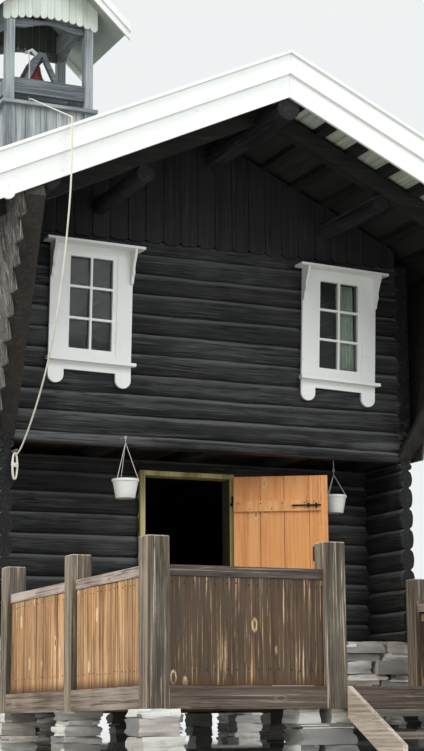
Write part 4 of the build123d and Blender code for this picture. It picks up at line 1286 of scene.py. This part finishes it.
# Door
@dataclass
class DoorLeaf:
    """The open leaf: four upright boards on two battens, with its nails and lock plate."""

    hinge: Point = (0.484, 0.665, 0.0)
    opened: float = math.radians(150.0)
    x: Span = (-0.5, 0.47)
    z: Span = (1.227, 2.74)
    thick: float = 0.032
    shares: tuple[float, ...] = (0.197, 0.266, 0.252, 0.285)
    batten: Span = (-0.43, 0.465)
    batten_height: float = 0.11
    batten_thick: float = 0.028
    batten_drop: float = 0.255
    sunk: float = 0.001
    nails: int = 8
    nail_step: float = 0.1136
    nail_radius: float = 0.0065
    nail_in: tuple[float, float] = (0.05, 0.028)
    plate: Room = ((-0.40, -0.34), (1.86, 2.01))
    latch: Room = ((-0.385, -0.365), (1.95, 1.965))

    def battens(self) -> list[Span]:
        """Give the heights of the two battens."""
        tops = (self.z[1] - self.batten_drop, self.z[0] + self.batten_drop + self.batten_height)
        return [(top - self.batten_height, top) for top in tops]

    def build(self) -> None:
        """Make the boards, battens, nails and lock plate, and turn them open about the hinge."""
        boards, nails, plate = Shape(71), Shape(72), Shape(73)
        pivot = Vector(self.hinge)
        turn = Matrix.Translation(pivot) @ Matrix.Rotation(self.opened, 4, "Z") @ Matrix.Translation(-pivot)
        face = pivot.y + self.thick
        place = self.x[0]
        for share in self.shares:
            wide = share * (self.x[1] - self.x[0])
            y = (pivot.y, face - boards.give(0.002))
            boards.box((place + JOINT, place + wide - JOINT), y, self.z, turn)
            place += wide
        for low, high in self.battens():
            boards.box(self.batten, (face - self.sunk, face + self.batten_thick), (low, high), turn)
            for k in range(self.nails):
                x = self.batten[0] + self.nail_in[0] + k * self.nail_step
                z = high - self.nail_in[1] if k % 2 else low + self.nail_in[1]
                centre = Vector((x, face + self.batten_thick, z))
                nails.nail(turn @ centre, turn.to_3x3() @ Vector((0, 1, 0)), self.nail_radius)
        plate.box(self.plate[0], (face - self.sunk, face + 0.004), self.plate[1], turn)
        plate.box(self.latch[0], (face + 0.004, face + 0.03), self.latch[1], turn)
        boards.piece("door_leaf_boards", DOOR.material(Grain.UP, True), "door_wood", "door", "door_leaf",
                     JOINT)
        nails.piece("door_nails", IRON.material(), "iron", "door", smooth=True)
        plate.piece("door_lock_plate", IRON.material(), "iron", "door", bevel=0.001)


# Platform
@dataclass
class Fence:
    """Upright fence boards on two stretchers, between the posts of the platform."""

    board: float = 0.174
    gap: float = 0.004
    scrap: float = 0.03
    thick: float = 0.024
    low: float = 0.514
    high: float = 1.33
    front: float = -3.648
    side: float = 2.19
    front_span: Span = (-2.057, -0.742)
    side_spans: tuple[Span, ...] = ((-3.515, -2.03), (-1.854, -0.297))
    nail_drop: float = 0.052
    nail_rise: float = 0.117
    nail_radius: float = 0.005
    stretcher: tuple[float, float] = (0.04, 0.085)

    def spans(self, start: float, end: float) -> list[Span]:
        """Give the boards of a panel, the last one cut to what is left.

        Args:
            start: the panel's start.
            end: its end.

        Returns:
            The boards.
        """
        found = []
        place = start + self.gap
        while place + self.scrap < end - self.gap:
            found.append((place, min(place + self.board, end - self.gap)))
            place += self.board + self.gap
        return found

    def panel(self, boards: Shape, nails: Shape, span: Span, turn: Matrix) -> None:
        """Add a panel, made along X with its face at Y = 0, and then moved.

        Args:
            boards: mesh of the boards.
            nails: mesh of the nail heads.
            span: the panel's start and end.
            turn: its move.
        """
        facing = turn.to_3x3() @ Vector((0, -1, 0))
        for x in self.spans(*span):
            give, drop = boards.give(0.005), boards.give(0.004)
            boards.box(x, (give, self.thick), (self.low, self.high - drop), turn)
            for height in (self.high - self.nail_drop, self.low + self.nail_rise):
                for share in (0.2, 0.8):
                    centre = Vector((between(x, share), give, height + boards.chance.uniform(-0.01, 0.01)))
                    nails.nail(turn @ centre, facing, self.nail_radius)
        wide, tall = self.stretcher
        for top in (self.high - 0.01, self.low + 0.16):
            boards.box(span, (self.thick, self.thick + wide), (top - tall, top), turn)

    def build(self) -> None:
        """Make all six panels."""
        boards, nails = Shape(81), Shape(82)
        start, end = self.front_span
        ahead = Matrix.Translation((0, self.front, 0))
        self.panel(boards, nails, (start, end), ahead)
        self.panel(boards, nails, (-end, -start), ahead)
        for start, end in self.side_spans:
            for hand, span in ((-1, (-end, -start)), (1, (start, end))):
                turn = Matrix.Rotation(hand * math.pi / 2, 4, "Z")
                self.panel(boards, nails, span, Matrix.Translation((hand * self.side, 0, 0)) @ turn)
        boards.piece("fence_board_rows", FENCE.material(Grain.UP, True), "fence_wood",
                     stands_for="platform_fence", bevel=JOINT)
        nails.piece("fence_nails", IRON.material(), "iron", smooth=True)


# Hanging pots
@dataclass
class HangingPots:
    """Two ribbed pots on three wires each; each place ends with the hook's height and the drop to the rim."""

    places: tuple[tuple[float, ...], ...] = ((-1.02, -0.15, 2.96, 0.415), (1.54, 0.42, 2.85, 0.28))
    rim: float = 0.132
    base: float = 0.095
    height: float = 0.185
    knot_drop: float = 0.06
    wire: float = 0.0028
    ribs: int = 28
    outer: Outline = (
        (0.5, -1.0), (0.96, -1.0), (1.0, -0.97), (1.08, -0.72), (1.2, -0.4), (1.30, -0.13))

    def build(self) -> None:
        """Make the pots and their wires."""
        pots, wires = Shape(91), Shape(92)
        profile = [(self.base * r, self.height * z) for r, z in self.outer]
        profile += [(self.rim, -0.024), (self.rim, 0.0), (self.rim - 0.008, 0.0), (self.rim - 0.014, -0.03),
                    (self.base - 0.004, -self.height + 0.01), (0.01, -self.height + 0.008)]
        for x, y, hook, drop in self.places:
            rim = Vector((x, y, hook - drop))
            pots.turned(profile, rim, 2 * self.ribs, 0.03)
            knot = Vector((x, y, hook - self.knot_drop))
            wires.tube([knot + Vector((0, 0, 0.008)), knot + Vector((0, 0, 0.021))], 0.004)
            for turn in (90, 210, 330):
                end = rim + Vector((0, 0, -0.01)) + round_point(turn / 360, self.rim - 0.005)
                wires.tube([knot.lerp(end, k / 8) for k in range(9)], self.wire, 6)
        pots.piece("ribbed_pots", POT_WHITE.material(Grain.UP), "pot_metal", stands_for="hanging_pots",
                   smooth=True, sharp=50)
        wires.piece("pot_wires", POT_WHITE.material(Grain.ACROSS), "pot_metal", smooth=True)


# Bell rope
@dataclass
class BellRope:
    """The rope from the bell's lever, over the gable, down to its peg and hank."""

    diameter: float = 0.016
    points: tuple[Point, ...] = (
        (-0.195, 5.5727, 9.000), (-0.196, 5.500, 8.998), (-0.200, 5.440, 8.960), (-0.206, 5.400, 8.870),
        (-0.214, 5.368, 8.730), (-0.226, 5.345, 8.560), (-0.238, 5.325, 8.400), (-0.250, 5.285, 8.268),
        (-0.262, 5.190, 8.205), (-0.290, 5.075, 8.188), (-0.3149, 4.9848, 8.1528), (-2.1781, -1.7748, 5.5132),
        (-2.203, -1.865, 5.478), (-2.201, -1.868, 5.240),
        (-2.198, -1.850, 5.005), (-2.193, -1.803, 4.770), (-2.187, -1.732, 4.540), (-2.180, -1.652, 4.320),
        (-2.172, -1.555, 4.100), (-2.162, -1.440, 3.890), (-2.150, -1.305, 3.690), (-2.138, -1.150, 3.505),
        (-2.126, -0.980, 3.335), (-2.117, -0.800, 3.175), (-2.110, -0.615, 3.025), (-2.107, -0.440, 2.892),
        (-2.105, -0.300, 2.800), (-2.105, -0.190, 2.743), (-2.105, -0.107, 2.728))
    peg: Point = (-2.105, -0.076, 2.76)
    turns: int = 4
    hank_long: float = 0.2522
    hank_half: float = 0.022
    hank_lean: float = 0.028
    wraps: int = 3
    wrap: tuple[float, float] = (0.031, 0.02)
    wrap_drop: float = 0.10
    wrap_step: float = 0.014

    def build(self) -> None:
        """Make the rope and the hank on the peg."""
        curve = bpy.data.curves.new("bell_rope_line", "CURVE")
        curve.dimensions = "3D"
        curve.resolution_u = 12
        curve.bevel_depth = self.diameter / 2
        curve.bevel_resolution = 4
        curve.use_fill_caps = True
        line = curve.splines.new("NURBS")
        line.points.add(len(self.points) - 1)
        for place, point in zip(line.points, self.points):
            place.co = (*(Vector(point) + HOUSE_SHIFT), 1.0)
        line.order_u = 3
        line.use_endpoint_u = True
        curve.materials.append(ROPE.material())
        rope = show("bell_rope_line", curve)
        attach(rope, "building")
        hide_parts("bell_rope")
        self.hank()
        log.info("bell_rope_line: %d points", len(self.points))

    def hank(self) -> None:
        """Make the surplus rope, wound in long turns over the peg and wrapped below it."""
        shape = Shape(95)
        path = []
        steps = 24
        for k in range(self.turns * steps + 1):
            turn = 2 * math.pi * k / steps
            lie = self.hank_lean * k / (self.turns * steps) - 0.010
            drop = 0.006 + self.hank_long / 2 * (1 - math.cos(turn))
            path.append(Vector(self.peg) + Vector((self.hank_half * math.sin(turn), lie, -drop)))
        shape.tube(path, self.diameter * 0.45)
        wrapped = []
        steps = 16
        for k in range(self.wraps * steps + 1):
            turn = 2 * math.pi * k / steps
            wrapped.append(Vector(self.peg) + Vector((self.wrap[0] * math.cos(turn),
                                                      0.004 + self.wrap[1] * math.sin(turn),
                                                      -self.wrap_drop - self.wrap_step * k / steps)))
        shape.tube(wrapped, self.diameter * 0.4)
        shape.piece("rope_hank_turns", ROPE.material(), "rope", stands_for="rope_hank", smooth=True)


# Windows
@dataclass
class Curtain:
    """A plain curtain behind half of the right window."""

    x: Span = (1.405, 1.605)
    y: float = 0.045
    z: Span = (3.82, 4.72)
    thick: float = 0.002
    fold: float = 0.012
    folds: float = 34.0
    count: int = 48

    def build(self) -> None:
        """Make the folds."""
        shape = Shape(97)
        rows = []
        for z in self.z:
            shares = [k / self.count for k in range(self.count + 1)]
            row = [Vector((between(self.x, share), self.y + self.fold * math.sin(share * self.folds), z))
                   for share in shares]
            rows.append(row + [point + Vector((0, self.thick, 0)) for point in row[::-1]])
        shape.rings(rows)
        cloth = shape.piece("window_curtain", CURTAIN.material(), "white_wood", smooth=True)


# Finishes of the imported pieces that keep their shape
@dataclass
class Dressing:
    """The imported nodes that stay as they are, each with its own finish."""

    soffit: Planks = Planks(0.19)
    floor: Planks = Planks(0.16)
    deck: Planks = Planks(0.125, "Y")
    tower_floor: Planks = Planks(0.14, "Y")
    tower_skirt: Planks = Planks(0.14, "XY")

    def build(self) -> None:
        """Give each node its finish, in the slots of its own mesh."""
        across, into, up = Grain
        for material, nodes in (
                (WHITE.material(across), "lower_bargeboards upper_bargeboards tower_bargeboards"),
                (WHITE.material(across), "window_casings bell_lever"),
                (WHITE.material(up), "window_sashes"),
                (GlassFinish().material(), "window_glass"),
                (TARRED.material(into), "roof_logs"),
                (SOFFIT_DARK.material(across), "rafters"),
                (SOFFIT_DARK.material(into), "roof_battens"),
                (SOFFIT.material(into, planks=self.soffit), "roof_boards"),
                (TARRED_BOARD.material(across), "floor_joists"),
                (PLAIN.material(into, planks=self.floor), "floor_boards"),
                (STRUT.material(into), "eave_struts"),
                (FRAME.material(up), "door_frame"),
                (IRON.material(), "door_pintles door_irons door_bolt"),
                (POST.material(up), "platform_posts"),
                (DECK.material(across), "door_steps platform_beams"),
                (DECK.material(into), "platform_joists"),
                (DECK.material(across, planks=self.deck), "platform_floor"),
                (RAIL.material(across), "handrails"),
                (STRINGER.material(into), "stair_stringers"),
                (GREY_BOARD.material(across), "stair_treads"),
                (TOWER.material(up), "tower_posts"),
                (TOWER_DARK.material(across), "tower_crossbars bell_trestles bell_yoke"),
                (TOWER.material(into), "tower_plates"),
                (TOWER.material(across, planks=self.tower_floor), "tower_floor"),
                (TOWER_SKIRT.material(up, planks=self.tower_skirt), "tower_skirt"),
                (GREY_BOARD.material(into), "rope_peg"),
                (POT_WHITE.material(across), "pot_hooks")):
            for name in nodes.split():
                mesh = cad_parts[name].data
                if not mesh.materials:
                    mesh.materials.append(material)
                for place in range(len(mesh.materials)):
                    mesh.materials[place] = material
                log.info("%s: %s", name, material.name)


# Studio
@dataclass
class Studio:
    """Pale floor, soft lamps, pale background, and the camera where the photograph was taken from."""

    place: Point = (-7.3627, -17.9475, 0.2002)
    yaw: float = math.radians(24.217)
    pitch: float = math.radians(10.950)
    roll: float = math.radians(-0.415)
    lens: float = 87.30
    reach: float = 150.0
    floor_tones: tuple[Colour, Colour] = ((0.62, 0.62, 0.60), (0.66, 0.66, 0.64))
    sky: Colour = (0.93, 0.96, 1.0)
    sky_strength: float = 0.74
    backdrop: Colour = (0.86, 0.89, 0.89)

    def floor(self) -> None:
        """Lay the pale floor."""
        mesh = bpy.data.meshes.new("studio_floor")
        corners = [(self.reach * x, self.reach * y, 0) for x, y in ((-1, -1), (1, -1), (1, 1), (-1, 1))]
        mesh.from_pydata(corners, [], [(0, 1, 2, 3)])
        graph = Surface("studio_floor", self.floor_tones[0])
        graph.cover(graph.speckle(0.5), self.floor_tones[1])
        mesh.materials.append(graph.finish(0.9))
        show("studio_floor", mesh)

    def world(self) -> None:
        """Light the object softly from all sides and show a pale background."""
        graph = Graph(bpy.data.worlds.new("studio_world"))
        bpy.context.scene.world = graph.owner
        graph.nodes.clear()
        camera, glossy, through = (graph.node("ShaderNodeLightPath", output=f"Is {kind} Ray")
                                   for kind in ("Camera", "Glossy", "Transmission"))
        sky = graph.node("ShaderNodeBackground", None, {0: self.sky, 1: self.sky_strength})
        shown = graph.node("ShaderNodeBackground", None, {0: self.backdrop, 1: 1.0})
        seen = camera.most(glossy).most(through)
        both = graph.node("ShaderNodeMixShader", None, {0: seen, 1: sky, 2: shown})
        graph.feed(graph.nodes.new("ShaderNodeOutputWorld").inputs[0], both)

    def lamp(self, name: str, strength: float, aim: Point, spread: float, tint: Colour) -> None:
        """Add a distant soft lamp.

        Args:
            name: the lamp's name.
            strength: its strength.
            aim: the way its light goes.
            spread: its angle in degrees.
            tint: its colour.
        """
        data = bpy.data.lights.new(name, "SUN")
        data.energy = strength
        data.angle = math.radians(spread)
        data.color = tint
        show(name, data).rotation_euler = Vector(aim).to_track_quat("-Z", "Y").to_euler()

    def camera(self) -> None:
        """Set the camera."""
        data = bpy.data.cameras.new("studio_camera")
        data.lens = self.lens
        data.sensor_width = 36.0
        data.sensor_fit = "AUTO"
        data.clip_end = 500.0
        made = show("studio_camera", data)
        aim = Matrix.Rotation(-self.yaw, 4, "Z") @ Matrix.Rotation(math.pi / 2 + self.pitch, 4, "X")
        made.matrix_world = Matrix.Translation(self.place) @ aim @ Matrix.Rotation(self.roll, 4, "Z")
        bpy.context.scene.camera = made

    def build(self) -> None:
        """Set up the studio."""
        self.floor()
        self.world()
        self.lamp("key_lamp", 1.75, (0.85, 0.35, -0.75), 25.0, (1.0, 0.97, 0.92))
        self.lamp("front_lamp", 1.3, (-0.25, 0.85, -0.55), 40.0, (0.97, 0.98, 1.0))
        self.camera()
        bpy.context.scene.view_settings.view_transform = "Standard"


def main() -> None:
    """Build the sub-assemblies in order."""
    logging.basicConfig(level=logging.INFO, format="%(message)s")
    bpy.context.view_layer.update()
    Dressing().build()
    StonePiers().build()
    lower = [1.05 + 0.21 * k for k in range(9)] + [2.89]
    upper = [2.89, 3.0] + [3.0 + 0.205 * k for k in range(1, 10)] + [4.99]
    doorway = ((-0.522, 0.522), (1.15, 2.772))
    LogStorey("lower", lower, (0.74, 0.74 + WALL), (0.0, 7.07), WALL, doorway=doorway).build()
    holes = tuple(((middle - 0.299, middle + 0.338), (3.725, 4.825)) for middle in (-1.344, 1.380))
    LogStorey("upper", upper, (0.0, WALL), (0.0, HOUSE_LENGTH), 0.0, holes).build()
    GableBoards().build()
    SideBoarding().build()
    SlatedRoof("main_roof_slates", "roof_slates", 6.22417, SLOPE, 2.885, (-1.72, 7.75), 0.30, 0.28).build()
    SlatedRoof("tower_roof_slates", "tower_roof", 10.14995, TOWER_SLOPE, 0.99, (4.889, 6.631), 0.22,
               0.20).build()
    for part in (TowerGables, BellShell, DoorLeaf, Fence, HangingPots, Curtain, BellRope, Studio):
        part().build()


if __name__ == "__main__":
    main()
